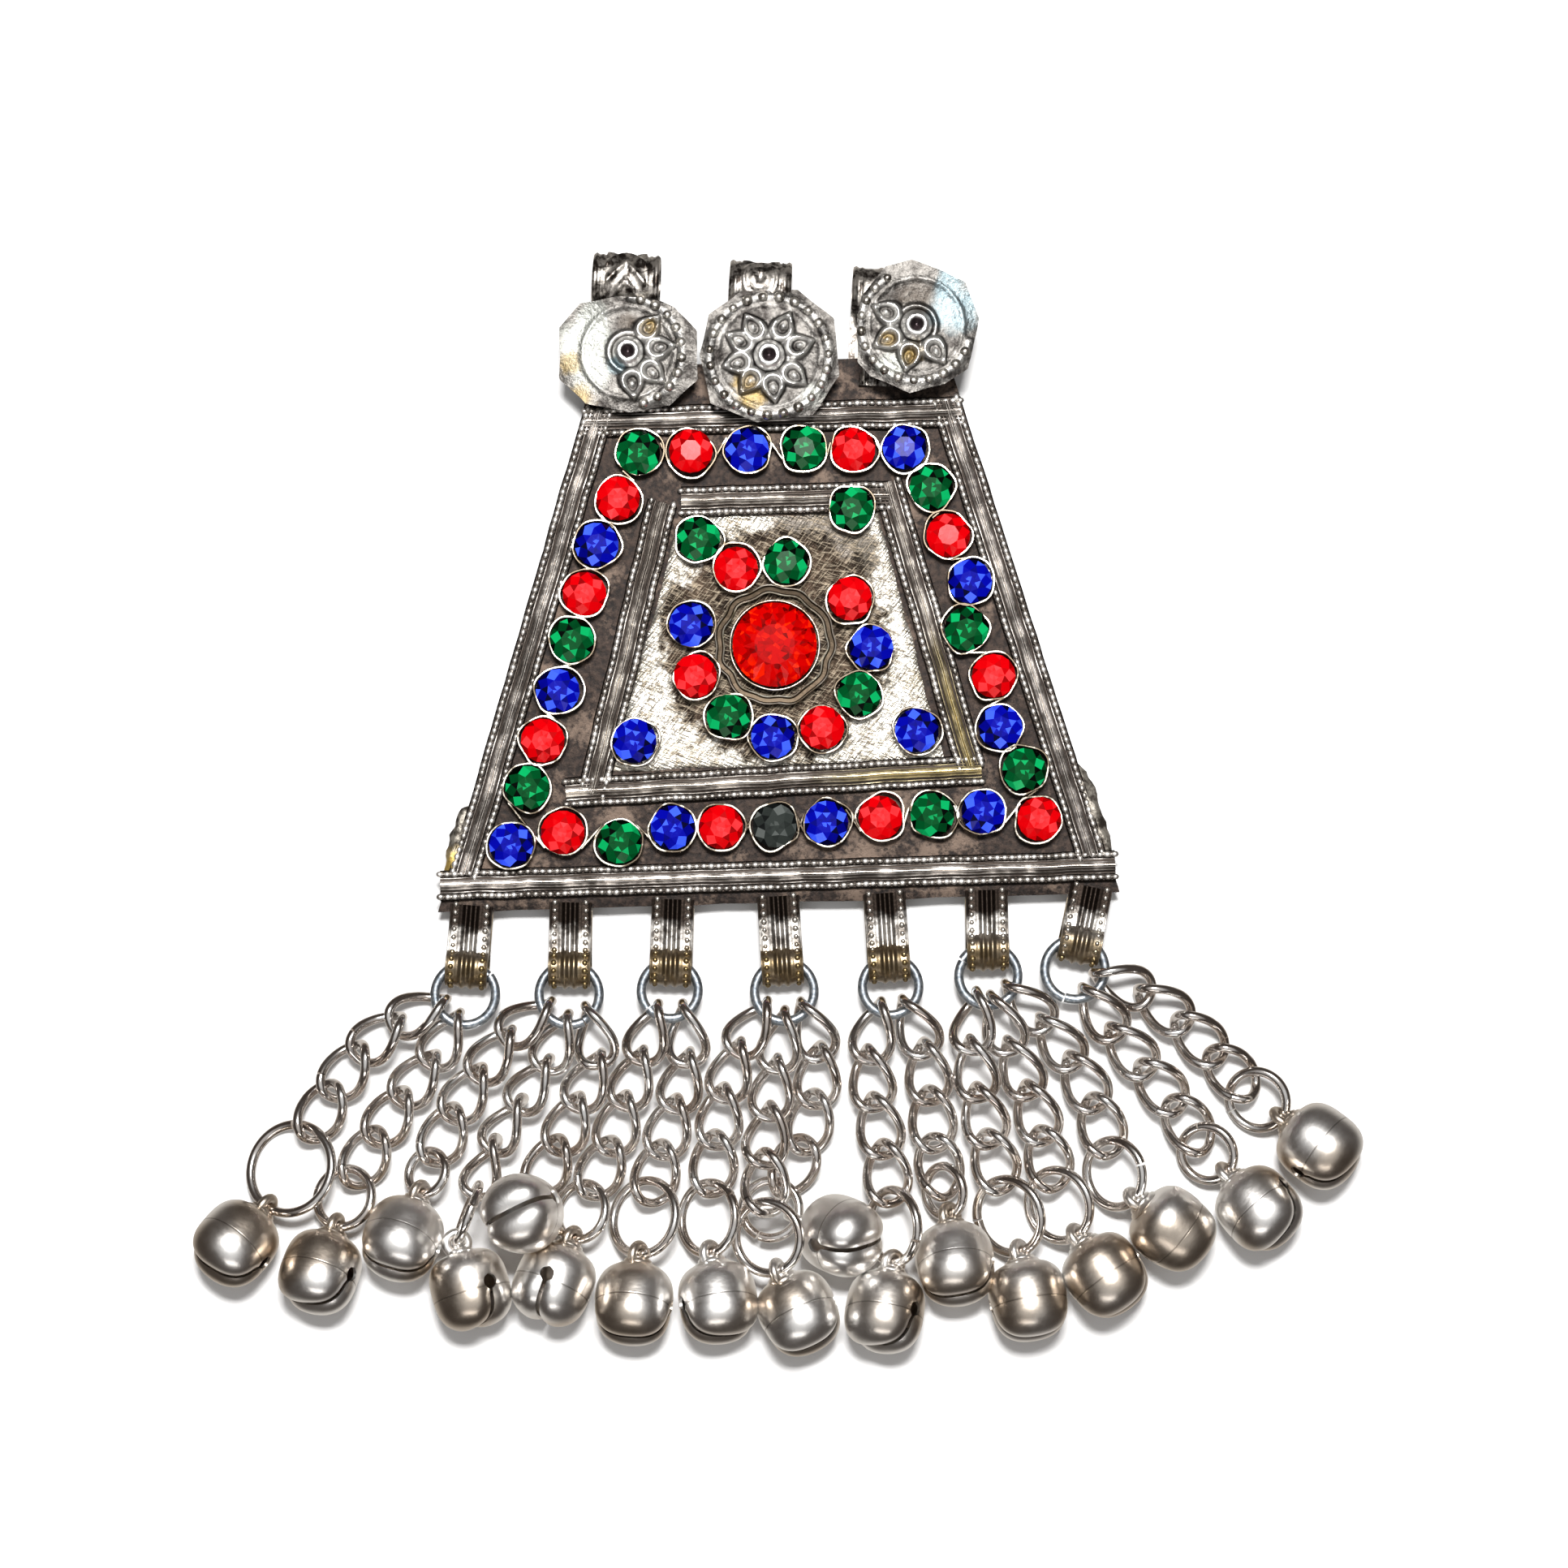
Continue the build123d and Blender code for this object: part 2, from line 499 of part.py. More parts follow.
# Hangers: a strip bail that grips the top edge, with a rosette disc soldered on its front leg
bail_turn = math.radians(SHEET_TURN + BAIL_SLOPE)
bail_outward = Vector(-math.sin(bail_turn), math.cos(bail_turn), 0)
for (name, bail_share, bail_width, disc_place, disc_rise, disc_height, tilt,
        outline, leaves, bead_share, first, beads) in HANGERS:
    bail_on_sheet = bail_place_on(bail_share)
    bail_middle = from_sheet(bail_on_sheet, BAIL_RADIUS)
    bail_reach = bail_on_sheet[1] - SHEET_HEIGHT + BAIL_GRIP
    disc_middle = from_sheet(on_top_edge(disc_place, disc_rise), disc_height)
    disc_face = Plane(origin=disc_middle, x_dir=sheet_plane(0).x_dir, z_dir=UP).rotated((0, tilt, 0))
    with BuildPart() as hanger:
        rolled_strip(bail_middle, bail_outward, bail_reach, bail_width, BAIL_RADIUS, BAIL_WALL)
        rosette(disc_face, outline, leaves, bead_share * DISC_RADIUS, first, beads)
        pad_middle = Vector((bail_middle.X + disc_middle.X) / 2, disc_middle.Y, FRONT_LEG)
        with Locations(pad_middle):
            Cylinder(PAD_RADIUS, disc_height + DISC_THICK / 2 - FRONT_LEG, align=STANDING)
        with Locations(Plane(origin=bail_middle, z_dir=bail_outward.cross(UP))):
            Cylinder(BAIL_RADIUS - BAIL_WALL, bail_width, mode=Mode.SUBTRACT)
    hanger.part.label = "hanger_" + name
    export_step(hanger.part, "parts/hanger_" + name + ".step")


# Loops: each points from the sheet's bottom edge at the middle of its jump ring
for index, (share, (ring_x, ring_y, ring_outer)) in enumerate(zip(LOOP_PLACES, JUMP_RINGS)):
    edge = from_sheet((share * SHEET_BOTTOM / 2, 0), SHEET_MIDDLE)
    ring_middle = Vector(ring_x, ring_y, SHEET_MIDDLE)
    ring_radius = (ring_outer - JUMP_WIRE) / 2
    outward = (ring_middle - edge).normalized()
    eye = ring_middle - outward * (ring_radius - JUMP_SEAT)
    with BuildPart() as loop:
        rolled_strip(eye, outward, (eye - edge).length + LOOP_GRIP, LOOP_WIDTH, LOOP_RADIUS, LOOP_WALL)
    loop.part.label = "loop_" + str(index + 1)
    export_step(loop.part, "parts/loop_" + str(index + 1) + ".step")

    with BuildPart() as jump_ring:
        with Locations((ring_x, ring_y, JUMP_HEIGHT)):
            Torus(ring_radius, JUMP_WIRE / 2)
    jump_ring.part.label = "jump_ring_" + str(index + 1)
    export_step(jump_ring.part, "parts/jump_ring_" + str(index + 1) + ".step")


def bend_radii(points):
    """A radius for each bend of a path of straight runs, as large as its runs allow."""
    radii = []
    for before, here, after in zip(points, points[1:], points[2:]):
        turn = math.radians((here - before).get_angle(after - here))
        shorter = min((here - before).length, (after - here).length)
        radii.append(BEND_SHARE * shorter / math.tan(turn / 2))
    return radii


def bent_wire(points, wire):
    """Round wire along straight runs joined by tangent arcs."""
    with BuildLine() as path:
        FilletPolyline(*points, radius=bend_radii(points))
    line = path.wires()[0]
    with BuildSketch(Plane(origin=line @ 0, z_dir=line % 0)) as section:
        Circle(wire / 2)
    sweep(section.sketch, path=line)


LINK_HALF = (LINK_LENGTH - LINK_WIRE) / 2
LINK_SPREAD = (LINK_WIDTH - LINK_WIRE) / 2
HOOK_HALF = (LINK_WIRE + LINK_GAP) / 2  # from a crossing point to either link's wire
LINK_PITCH = 2 * LINK_HALF - 2 * HOOK_HALF


def curb_link(middle, axis, roll):
    """A twisted curb link, in two halves that meet in the middle of the long sides."""
    side = UP.cross(axis).normalized()
    rise = axis.cross(side)

    def corner(along, out):
        angle = math.radians(roll - LINK_TWIST * along / LINK_HALF)
        return middle + axis * along + side * (out * math.cos(angle)) + rise * (out * math.sin(angle))

    shoulder = LINK_HALF - LINK_SHOULDER
    narrow = LINK_NARROW * LINK_SPREAD
    for end in (-1, 1):
        bent_wire(
            [
                (corner(shoulder, end * LINK_SPREAD) + corner(-shoulder, end * LINK_SPREAD)) / 2,
                corner(end * shoulder, end * LINK_SPREAD),
                corner(end * LINK_HALF, end * narrow),
                corner(end * LINK_HALF, -end * narrow),
                corner(end * shoulder, -end * LINK_SPREAD),
                (corner(shoulder, -end * LINK_SPREAD) + corner(-shoulder, -end * LINK_SPREAD)) / 2,
            ],
            LINK_WIRE,
        )


def crossings(start, route, heights):
    """Points a link's pitch apart over the plan route, at the given heights."""
    points = [start]
    legs = list(zip([start] + route, route))
    leg = 0
    share = 0.0
    for height in heights:
        while True:
            foot, head = legs[min(leg, len(legs) - 1)]
            reach = share + leg - min(leg, len(legs) - 1)
            plan = foot + (head - foot) * reach
            here = Vector(plan.X, plan.Y, height)
            if (here - points[-1]).length >= LINK_PITCH:
                break
            share += ROUTE_STEP
            if share >= 1:
                leg += 1
                share -= 1
        points.append(here)
    return points


def lay_strand(row):
    """Where a strand's links, end ring and bell lie."""
    (name, ring, leaves_at, route, heights, rolls, ring_towards, ring_outer, lean, slack,
     loop_height, bell_towards, bell_height, loop_towards, slit_turn, tip) = row
    ring_x, ring_y, jump_outer = JUMP_RINGS[ring - 1]
    jump_middle = Vector(ring_x, ring_y, 0)
    out = (Vector(*leaves_at) - jump_middle).normalized()
    on_wire = jump_middle + out * ((jump_outer - JUMP_WIRE) / 2)
    plan = [Vector(*point) for point in route] + [Vector(*ring_towards)]
    first_axis = (out * HOOK_PULL + (plan[0] - on_wire).normalized()).normalized()
    start = on_wire - first_axis * (JUMP_WIRE / 2 + LINK_WIRE / 2 + LINK_GAP - HOOK_HALF)
    points = crossings(Vector(start.X, start.Y, heights[0]), plan, heights[1:])
    links = []
    for before, after, roll in zip(points, points[1:], rolls):
        links.append(((before + after) / 2, (after - before).normalized(), roll))

    last_middle, last_axis, last_roll = links[-1]
    hooked = last_middle + last_axis * (LINK_HALF - LINK_WIRE / 2 - END_WIRE / 2 - LINK_GAP - slack)
    radius = (ring_outer - END_WIRE) / 2
    aim = Vector(ring_towards[0] - hooked.X, ring_towards[1] - hooked.Y, 0).normalized()
    climb = (loop_height - hooked.Z) / math.sqrt((2 * radius) ** 2 - (loop_height - hooked.Z) ** 2)
    chord = (aim + UP * climb).normalized()
    side = UP.cross(chord).normalized()
    tipped = math.radians(lean)
    normal = chord.cross(side) * math.cos(tipped) + side * math.sin(tipped)
    ring_middle = hooked + chord * radius
    pull = Vector(*(loop_towards or bell_towards), bell_height) - ring_middle
    outward = (pull - normal * pull.dot(normal)).normalized()
    hung = ring_middle + outward * radius
    drop = bell_height - hung.Z
    heading = Vector(bell_towards[0] - hung.X, bell_towards[1] - hung.Y, 0).normalized()
    bell = hung + heading * math.sqrt(LOOP_REACH**2 - drop**2) + UP * drop
    wire = normal.cross(outward)
    return links, ring_middle, normal, radius, bell, (hung - bell).normalized(), wire


def slit_bell(middle, towards, wire, slit_turn, tip):
    """A hollow bell with a slit across its far side and a wire loop on its near side."""
    pole = towards * -1
    across = UP.cross(pole).normalized()
    raised = math.radians(tip)
    pole = pole * math.cos(raised) + pole.cross(across) * math.sin(raised)
    turned = math.radians(slit_turn)
    slit = across * math.cos(turned) + pole.cross(across) * math.sin(turned)
    body = Plane(origin=middle, x_dir=slit, z_dir=pole)
    with Locations(body):
        Sphere(BELL_RADIUS)
    with Locations(Plane(origin=middle, z_dir=towards).offset(BELL_RADIUS - BELL_WALL)):
        Cylinder(SHANK_COLLAR, BELL_WALL + SHANK_COLLAR_HEIGHT, align=STANDING)
    loop_axis = wire - towards * wire.dot(towards)
    with Locations(Plane(origin=middle + towards * SHANK_REACH, z_dir=loop_axis)):
        Torus(SHANK_RADIUS, SHANK_WIRE / 2)
    with Locations(body):
        Sphere(BELL_RADIUS - BELL_WALL, mode=Mode.SUBTRACT)
        Box(
            4 * BELL_RADIUS, SLIT_WIDTH, 2 * BELL_RADIUS, align=STANDING, mode=Mode.SUBTRACT,
        )
        Cylinder(SLIT_HOLE, 4 * BELL_RADIUS, rotation=(0, 90, 0), mode=Mode.SUBTRACT)


# Strands: four curb links and an end ring, and the bell that hangs on it
for row in STRANDS:
    links, ring_middle, ring_normal, ring_radius, bell_middle, bell_axis, ring_wire = lay_strand(row)
    with BuildPart() as strand:
        for link_middle, link_axis, link_roll in links:
            curb_link(link_middle, link_axis, link_roll)
        with Locations(Plane(origin=ring_middle, z_dir=ring_normal)):
            Torus(ring_radius, END_WIRE / 2)
    strand.part.label = "chain_" + row[0]
    export_step(strand.part, "parts/chain_" + row[0] + ".step")

    with BuildPart() as bell:
        slit_bell(bell_middle, bell_axis, ring_wire, row[-2], row[-1])
    bell.part.label = "bell_" + row[0]
    export_step(bell.part, "parts/bell_" + row[0] + ".step")
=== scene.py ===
import bmesh
import bpy
import math
from mathutils import Matrix, Vector, noise


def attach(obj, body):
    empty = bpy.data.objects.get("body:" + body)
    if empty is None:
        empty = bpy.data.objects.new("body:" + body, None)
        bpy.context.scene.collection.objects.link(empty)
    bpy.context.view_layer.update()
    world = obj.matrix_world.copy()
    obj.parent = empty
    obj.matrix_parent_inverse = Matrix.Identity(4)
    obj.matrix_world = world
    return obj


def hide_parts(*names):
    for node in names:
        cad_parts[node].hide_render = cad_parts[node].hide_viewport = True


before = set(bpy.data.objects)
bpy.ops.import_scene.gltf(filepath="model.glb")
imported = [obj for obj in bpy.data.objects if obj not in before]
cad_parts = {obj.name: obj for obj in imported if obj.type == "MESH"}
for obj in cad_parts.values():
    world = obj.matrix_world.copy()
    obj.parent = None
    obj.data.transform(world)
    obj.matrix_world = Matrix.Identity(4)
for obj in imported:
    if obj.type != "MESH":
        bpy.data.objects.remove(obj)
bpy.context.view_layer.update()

# Sizes are millimetres until a mesh is made. The plan of the sheet is given in shares of half
# its bottom width and of its height, as the goldsmith would mark it out.
MM = 0.001
UP = Vector((0, 0, 1))
noise.seed_set(3)  # else the vector noise differs from run to run

# Sheet and strips
SHEET_BOTTOM = 71.2
SHEET_TOP = 36.8
SHEET_HEIGHT = 56.7
SHEET_SKEW = 1.0
SHEET_THICK = 1.0
SHEET_LIFT = 1.8
SHEET_TURN = math.radians(1.7)
SHEET_Y = -10.1
SHEET_FACE = SHEET_LIFT + SHEET_THICK
SHEET_MIDDLE = SHEET_LIFT + SHEET_THICK / 2
STRIP_WIDTH = 3.2
BOTTOM_STRIP_UP = 1.2
TOP_STRIP_DOWN = 4.3
PANEL_FACE = SHEET_FACE + 0.3

# Stones and bezels
STONE_RADIUS = 2.3
STONE_GIRDLE = 1.5
STONE_CROWN = 0.65
CENTRE_RADIUS = 4.4
BEZEL_RADIUS = 2.5
BEZEL_WALL = 0.26
BEZEL_STRAY = 0.28
BEZEL_HEIGHT = 1.5
COLLAR_INNER = 5.45
COLLAR_OUTER = 6.15

# Bails and discs
BAIL_RADIUS = 2.95
BAIL_WALL = 0.7
BAIL_GRIP = 3.0
BAIL_RISE = 7.57
BAIL_SLOPE = math.radians(-4.7)
DISC_RADIUS = 7.2
DISC_THICK = 0.8
BOSS_RADIUS = 1.7
BEADS_ROUND = 24
LEAF_RADIUS = 3.4

# Loops and jump rings
LOOP_WIDTH = 4.4
LOOP_WALL = 0.6
LOOP_RADIUS = 2.1
LOOP_GRIP = 0.65
FRONT_LEG = SHEET_FACE + 0.1
BACK_LEG = SHEET_LIFT - 0.1
JUMP_WIRE = 0.9
JUMP_HEIGHT = 2.72
JUMP_SEAT = 0.35

# Chains and bells
LINK_WIRE = 1.25
LINK_LENGTH = 7.7
LINK_WIDTH = 5.6
LINK_TWIST = 52
LINK_GAP = 0.2
HOOK_PULL = 0.6
ROUTE_STEP = 0.002
END_WIRE = 0.8
BELL_RADIUS = 4.2
SLIT_WIDTH = 0.5
SLIT_HOLE = 0.8
SHANK_RADIUS = 1.1
SHANK_WIRE = 0.7
SHANK_REACH = 5.05
LOOP_REACH = 5.15

# Stones: colour and place on the sheet
OUTER_STONES = (
    ("green", -0.37, 0.835), ("red", -0.217, 0.835), ("blue", -0.052, 0.835),
    ("green", 0.115, 0.835), ("red", 0.26, 0.83), ("blue", 0.41, 0.83),
    ("green", 0.484, 0.755), ("red", 0.53, 0.665), ("blue", 0.59, 0.58),
    ("green", 0.575, 0.493), ("red", 0.65, 0.404), ("blue", 0.664, 0.31),
    ("green", 0.73, 0.23), ("red", 0.77, 0.14), ("blue", 0.606, 0.155),
    ("green", 0.457, 0.153), ("red", 0.307, 0.15), ("blue", 0.147, 0.143),
    ("dark", -0.004, 0.142), ("red", -0.16, 0.142), ("blue", -0.302, 0.144),
    ("green", -0.459, 0.12), ("red", -0.623, 0.14), ("blue", -0.777, 0.12),
    ("green", -0.725, 0.224), ("red", -0.674, 0.31), ("blue", -0.627, 0.4),
    ("green", -0.582, 0.493), ("red", -0.542, 0.578), ("blue", -0.502, 0.668),
    ("red", -0.435, 0.752),
)
# Stones round the centre, and the two in the panel's lower corners
INNER_STONES = (
    ("green", -0.203, 0.673), ("red", -0.094, 0.616), ("green", 0.052, 0.625),
    ("green", 0.25, 0.72), ("red", 0.238, 0.554), ("blue", 0.295, 0.463),
    ("green", 0.256, 0.378), ("red", 0.145, 0.318), ("blue", 0.0, 0.304),
    ("green", -0.13, 0.344), ("red", -0.222, 0.42), ("blue", -0.23, 0.514),
)
CORNER_STONES = (("blue", -0.407, 0.304), ("blue", 0.422, 0.308))
CENTRE_STONE = (0.012, 0.473)

# Inner frame strips, panel corners
FRAME_STRIPS = (
    ((-0.25, 0.716), (0.36, 0.716)),
    ((-0.35, 0.751), (-0.58, 0.217)),
    ((0.62, 0.247), (0.4, 0.776)),
    ((-0.612, 0.185), (0.608, 0.205)),
)
PANEL = ((-0.483, 0.25), (0.503, 0.25), (0.328, 0.716), (-0.256, 0.716))
LOOP_PLACES = (-0.9, -0.609, -0.309, 0.0, 0.312, 0.611, 0.916)

# Hangers. Columns: name; bail's place along the top edge as a share of half its length and
# its width; disc's place along the edge, its centre above the edge, its underside above the
# surface and its tilt in degrees; outline as shares of the disc's radius; directions of the
# leaves; ring of beads: its radius as a share, first angle, beads
HANGERS = (
    ("left", -0.815, 7.0, -0.81, 1.1, 4.7, -2,
     ((-0.99, 0.39), (-0.68, 0.73), (-0.07, 0.81), (0.42, 0.76), (0.69, 0.62), (1.01, 0.27),
      (0.99, -0.44), (0.58, -0.79), (-0.01, -0.87), (-0.64, -0.73), (-1.01, -0.35)),
     (48, 6, -42, -84), 0.74, -75, 11),
    ("middle", -0.054, 6.5, -0.016, 0.2, 5.3, 1,
     ((-0.38, 0.95), (0.44, 0.95), (0.96, 0.51), (1.01, -0.32), (0.61, -0.88), (-0.21, -0.96),
      (-0.86, -0.67), (-1.0, 0.04), (-0.85, 0.62)),
     (118, 62, 17, -40, -84, -128, -168, 152), 0.82, 0, 24),
    ("right", 0.63, 6.0, 0.82, 2.8, 6.1, 2,
     ((-0.41, 0.87), (-0.04, 0.96), (0.38, 0.79), (0.73, 0.61), (0.92, 0.08), (0.73, -0.65),
      (0.38, -0.86), (-0.12, -0.98), (-0.68, -0.72), (-0.86, -0.51), (-0.86, 0.08), (-0.78, 0.44)),
     (205, 255, 305, 155), 0.76, 120, 15),
)

# Jump rings on the surface: centre and outer diameter
JUMP_RINGS = (
    (-32.7, -19.7, 7.2), (-21.8, -19.7, 7.2), (-11.3, -19.3, 6.8), (0.6, -19.4, 7.1),
    (11.7, -18.9, 6.8), (21.9, -17.8, 7.1), (31.0, -17.1, 7.2),
)

# Strands as they lie. Columns: name, jump ring, where the strand leaves it, points of the
# route, heights of the five crossings, roll of the four links, end ring towards, its
# diameter, lean and slack, height of the bell's loop, bell towards, slit turn, tip of the bell
STRANDS = (
    ("1a", 1, (-37.5, -21.2), ((-39.4, -22.3), (-43.6, -25.6), (-46.6, -29.9)),
     (2.95, 3.1, 2.6, 2.2, 2.1), (38, 28, 16, 4),
     (-50.9, -38.0), 10.2, -25, 0, 2.7, (-57.0, -46.2), 20, 12),
    ("1b", 1, (-34.3, -24.1), ((-35.7, -26.1), (-38.9, -30.0), (-41.7, -34.2)),
     (2.85, 2.6, 2.25, 1.95, 1.75), (38, 28, 16, 4),
     (-45.5, -41.3), 7.0, -25, 0.4, 2.4, (-47.7, -48.8), 33, 12),
    ("2a", 2, (-25.8, -21.7), ((-28.0, -23.7), (-30.9, -27.6), (-33.4, -31.3)),
     (3.05, 3.6, 3.5, 3.1, 2.6), (42, 36, 26, 12),
     (-36.6, -38.2), 5.4, -35, 0, 2.9, (-39.0, -44.8), 9, 24),
    ("2b", 2, (-22.5, -24.1), ((-24.5, -27.6), (-27.4, -31.6), (-29.8, -35.6)),
     (2.9, 2.9, 2.9, 2.9, 3.4), (42, 46, 52, 54),
     (-32.2, -42.2), 7.2, -84, 0, 4.2, (-31.7, -51.0), 52, 9),
    ("2c", 2, (-18.5, -23.2), ((-18.1, -25.2), (-20.2, -29.2), (-21.7, -33.4)),
     (2.85, 3.5, 3.7, 3.2, 2.4), (42, 36, 26, 12),
     (-25.0, -39.7), 7.6, -25, 0, 1.6, (-27.3, -41.7), -35, 22),
    ("3a", 3, (-13.9, -23.3), ((-14.2, -25.9), (-15.8, -30.3), (-16.9, -34.6)),
     (2.95, 3.1, 3.0, 2.7, 2.5), (42, 36, 26, 12),
     (-20.1, -41.4), 6.8, -35, 0, 2.7, (-23.3, -49.6), 104, 4),
    ("3b", 3, (-8.8, -23.3), ((-9.2, -25.6), (-10.4, -30.3), (-11.7, -34.6)),
     (2.9, 2.8, 2.7, 2.4, 2.3), (42, 36, 26, 12),
     (-13.8, -42.3), 8.6, -35, 1.1, 3.2, (-15.1, -52.3), 4, 20),
    ("4a", 4, (-2.7, -22.1), ((-4.1, -25.2), (-5.6, -29.9), (-6.4, -34.6)),
     (3.0, 3.6, 3.4, 2.9, 2.6), (42, 36, 26, 12),
     (-7.3, -43.1), 8.2, -40, 0, 3.2, (-6.1, -52.2), -22, 20),
    ("4b", 4, (0.5, -24.4), ((-0.1, -26.5), (-0.9, -31.2), (-1.5, -36.3)),
     (2.9, 2.9, 3.1, 4.2, 5.1), (42, 38, 30, 14),
     (-1.2, -42.8), 8.2, -25, 0, 5.0, (2.9, -54.3), 0, 36),
    ("4c", 4, (4.0, -22.5), ((4.6, -26.1), (3.8, -31.2), (2.4, -36.7)),
     (2.85, 2.5, 2.1, 1.9, 1.9), (38, 28, 12, -6),
     (-2.0, -44.2), 6.8, -14, 0, 2.2, (5.7, -44.4), -65, 27),
    ("5a", 5, (9.8, -22.8), ((9.4, -25.2), (9.9, -30.3), (11.0, -35.4)),
     (2.95, 3.0, 2.7, 2.8, 3.0), (38, 30, 22, 16),
     (12.0, -44.1), 8.4, -50, 0.2, 4.0, (10.9, -53.4), 42, 16),
    ("5b", 5, (14.3, -22.2), ((15.3, -24.8), (15.9, -29.5), (16.0, -33.7)),
     (2.85, 2.6, 2.3, 2.1, 2.2), (38, 28, 14, 0),
     (17.4, -40.6), 6.0, -42, 2.0, 2.9, (18.3, -46.8), 8, 20),
    ("6a", 6, (20.1, -21.2), ((20.0, -24.4), (20.7, -29.0), (21.7, -33.4)),
     (3.0, 4.0, 3.9, 3.3, 2.7), (42, 36, 26, 12),
     (23.6, -41.0), 8.6, -35, 0, 2.9, (26.05, -51.7), -4, 4),
    ("6b", 6, (22.8, -22.1), ((24.0, -24.7), (25.9, -28.9), (27.4, -33.3)),
     (3.0, 3.3, 3.3, 3.0, 2.6), (42, 36, 26, 12),
     (29.1, -41.0), 8.2, -35, 0.7, 2.7, (34.4, -49.4), 5, 6),
    ("6c", 6, (26.2, -20.3), ((28.5, -23.3), (31.3, -27.4), (33.5, -31.8)),
     (2.85, 2.6, 2.5, 2.4, 2.4), (42, 36, 26, 12),
     (35.3, -39.4), 7.8, -38, 0.3, 3.0, (42.2, -45.0), -5, -8),
    ("7a", 7, (33.4, -21.8), ((35.3, -23.8), (38.4, -27.4), (41.4, -31.0)),
     (2.95, 2.9, 2.5, 2.1, 1.9), (38, 28, 16, 4),
     (44.9, -36.5), 6.6, -25, 1.3, 2.4, (50.0, -42.0), 22, 8),
    ("7b", 7, (36.6, -18.5), ((39.0, -19.8), (42.5, -22.7), (45.8, -26.1)),
     (2.85, 2.6, 2.25, 1.95, 1.75), (38, 28, 16, 4),
     (50.5, -31.2), 7.0, -25, 1.2, 2.4, (56.8, -35.8), -24, 2),
)
# A bell that lies on others: its height, and where its loop hangs
LIFTED_BELLS = {"2c": (7.5, (-25.2, -43.5))}


class Value:
    """A node's output that takes part in plain arithmetic."""

    def __init__(self, tree, socket):
        self.tree = tree
        self.socket = socket

    def worked(self, operation, first, second):
        return self.tree.node("ShaderNodeMath", {"operation": operation}, {0: first, 1: second})

    def __add__(self, other):
        return self.worked("ADD", self, other)

    def __sub__(self, other):
        return self.worked("SUBTRACT", self, other)

    def __rsub__(self, other):
        return self.worked("SUBTRACT", other, self)

    def __mul__(self, other):
        return self.worked("MULTIPLY", self, other)

    __radd__ = __add__
    __rmul__ = __mul__

    def step(self, low, high):
        """0 at low and 1 at high, smooth between, either way round."""
        spans = {"Value": self, "From Min": low, "From Max": high}
        return self.tree.node("ShaderNodeMapRange", {"interpolation_type": "SMOOTHSTEP"}, spans)


class Tree:
    """A node tree, for a finish or for a repeated form."""

    def __init__(self, tree):
        self.tree = tree
        self.metal_place = None

    def node(self, kind, settings=None, inputs=None, out=0):
        """One node: its settings first, then the values and links of its sockets."""
        made = self.tree.nodes.new(kind)
        for name, value in (settings or {}).items():
            if name == "stops":
                for stop, (place, colour) in zip(made.color_ramp.elements, value):
                    stop.position, stop.color = place, (*colour, 1)
                for place, colour in value[2:]:
                    made.color_ramp.elements.new(place).color = (*colour, 1)
            else:
                setattr(made, name, value)
        for name, value in (inputs or {}).items():
            socket = made.inputs[name]
            if isinstance(value, Value):
                self.tree.links.new(value.socket, socket)
            elif socket.type == "RGBA":
                socket.default_value = (*value, 1)
            else:
                socket.default_value = value
        return Value(self, made.outputs[out]) if made.outputs else None

    def blend(self, share, first, second):
        """From the first colour to the second as share goes from 0 to 1."""
        return self.node("ShaderNodeMix", {"data_type": "RGBA"}, {0: share, 6: first, 7: second}, 2)

    def place(self):
        """The point on the metalwork, in millimetres."""
        if not self.metal_place:
            point = self.node("ShaderNodeTexCoord", out="Object")
            self.metal_place = self.vector("SCALE", {0: point, "Scale": 1 / MM})
        return self.metal_place

    def vector(self, operation, inputs, out=0):
        return self.node("ShaderNodeVectorMath", {"operation": operation}, inputs, out)

    def grain(self, scale, detail=3, rough=0.6, stretch=(1, 1, 1), turn=0, place=None):
        """Noise of a scale per millimetre, drawn out along an axis turned in the plan."""
        drawn = tuple(1 / part for part in stretch)
        laid = self.node(
            "ShaderNodeMapping", {"vector_type": "TEXTURE"},
            {"Vector": place or self.place(), "Scale": drawn, "Rotation": (0, 0, math.radians(turn))},
        )
        return self.node(
            "ShaderNodeTexNoise", {},
            {"Vector": laid, "Scale": scale, "Detail": detail, "Roughness": rough},
        )

    def part(self, vector, axis):
        return self.node("ShaderNodeSeparateXYZ", {}, {0: vector}, axis)

    def height(self):
        """The point's height above the surface, in millimetres."""
        return self.part(self.place(), 2)

    def lay(self):
        """A piece's own laid out coordinates."""
        return self.node("ShaderNodeUVMap", {"uv_map": "lay"})

    def near(self, spot, radius, edge, ragged):
        """1 within a ragged spot of the plan, 0 outside."""
        plan = self.vector("MULTIPLY", {0: self.place(), 1: (1, 1, 0)})
        gap = self.vector("DISTANCE", {0: plan, 1: (*spot, 0)}, "Value")
        return (gap + ragged).step(radius + edge, radius - edge)

    def metal(self, colour, roughness, metallic=0.95, relief=None, depth=0.0, strength=1.0):
        """A metal's shader inputs, with a relief that is depth millimetres deep."""
        inputs = {"Base Color": colour, "Metallic": metallic, "Roughness": roughness}
        if relief:
            raised = {"Height": relief, "Distance": depth * MM, "Strength": strength}
            inputs["Normal"] = self.node("ShaderNodeBump", {}, raised)
        return inputs


def tint(red, green, blue):
    """A colour by its everyday 0 to 255 numbers."""
    return tuple((part / 255) ** 2.2 for part in (red, green, blue))


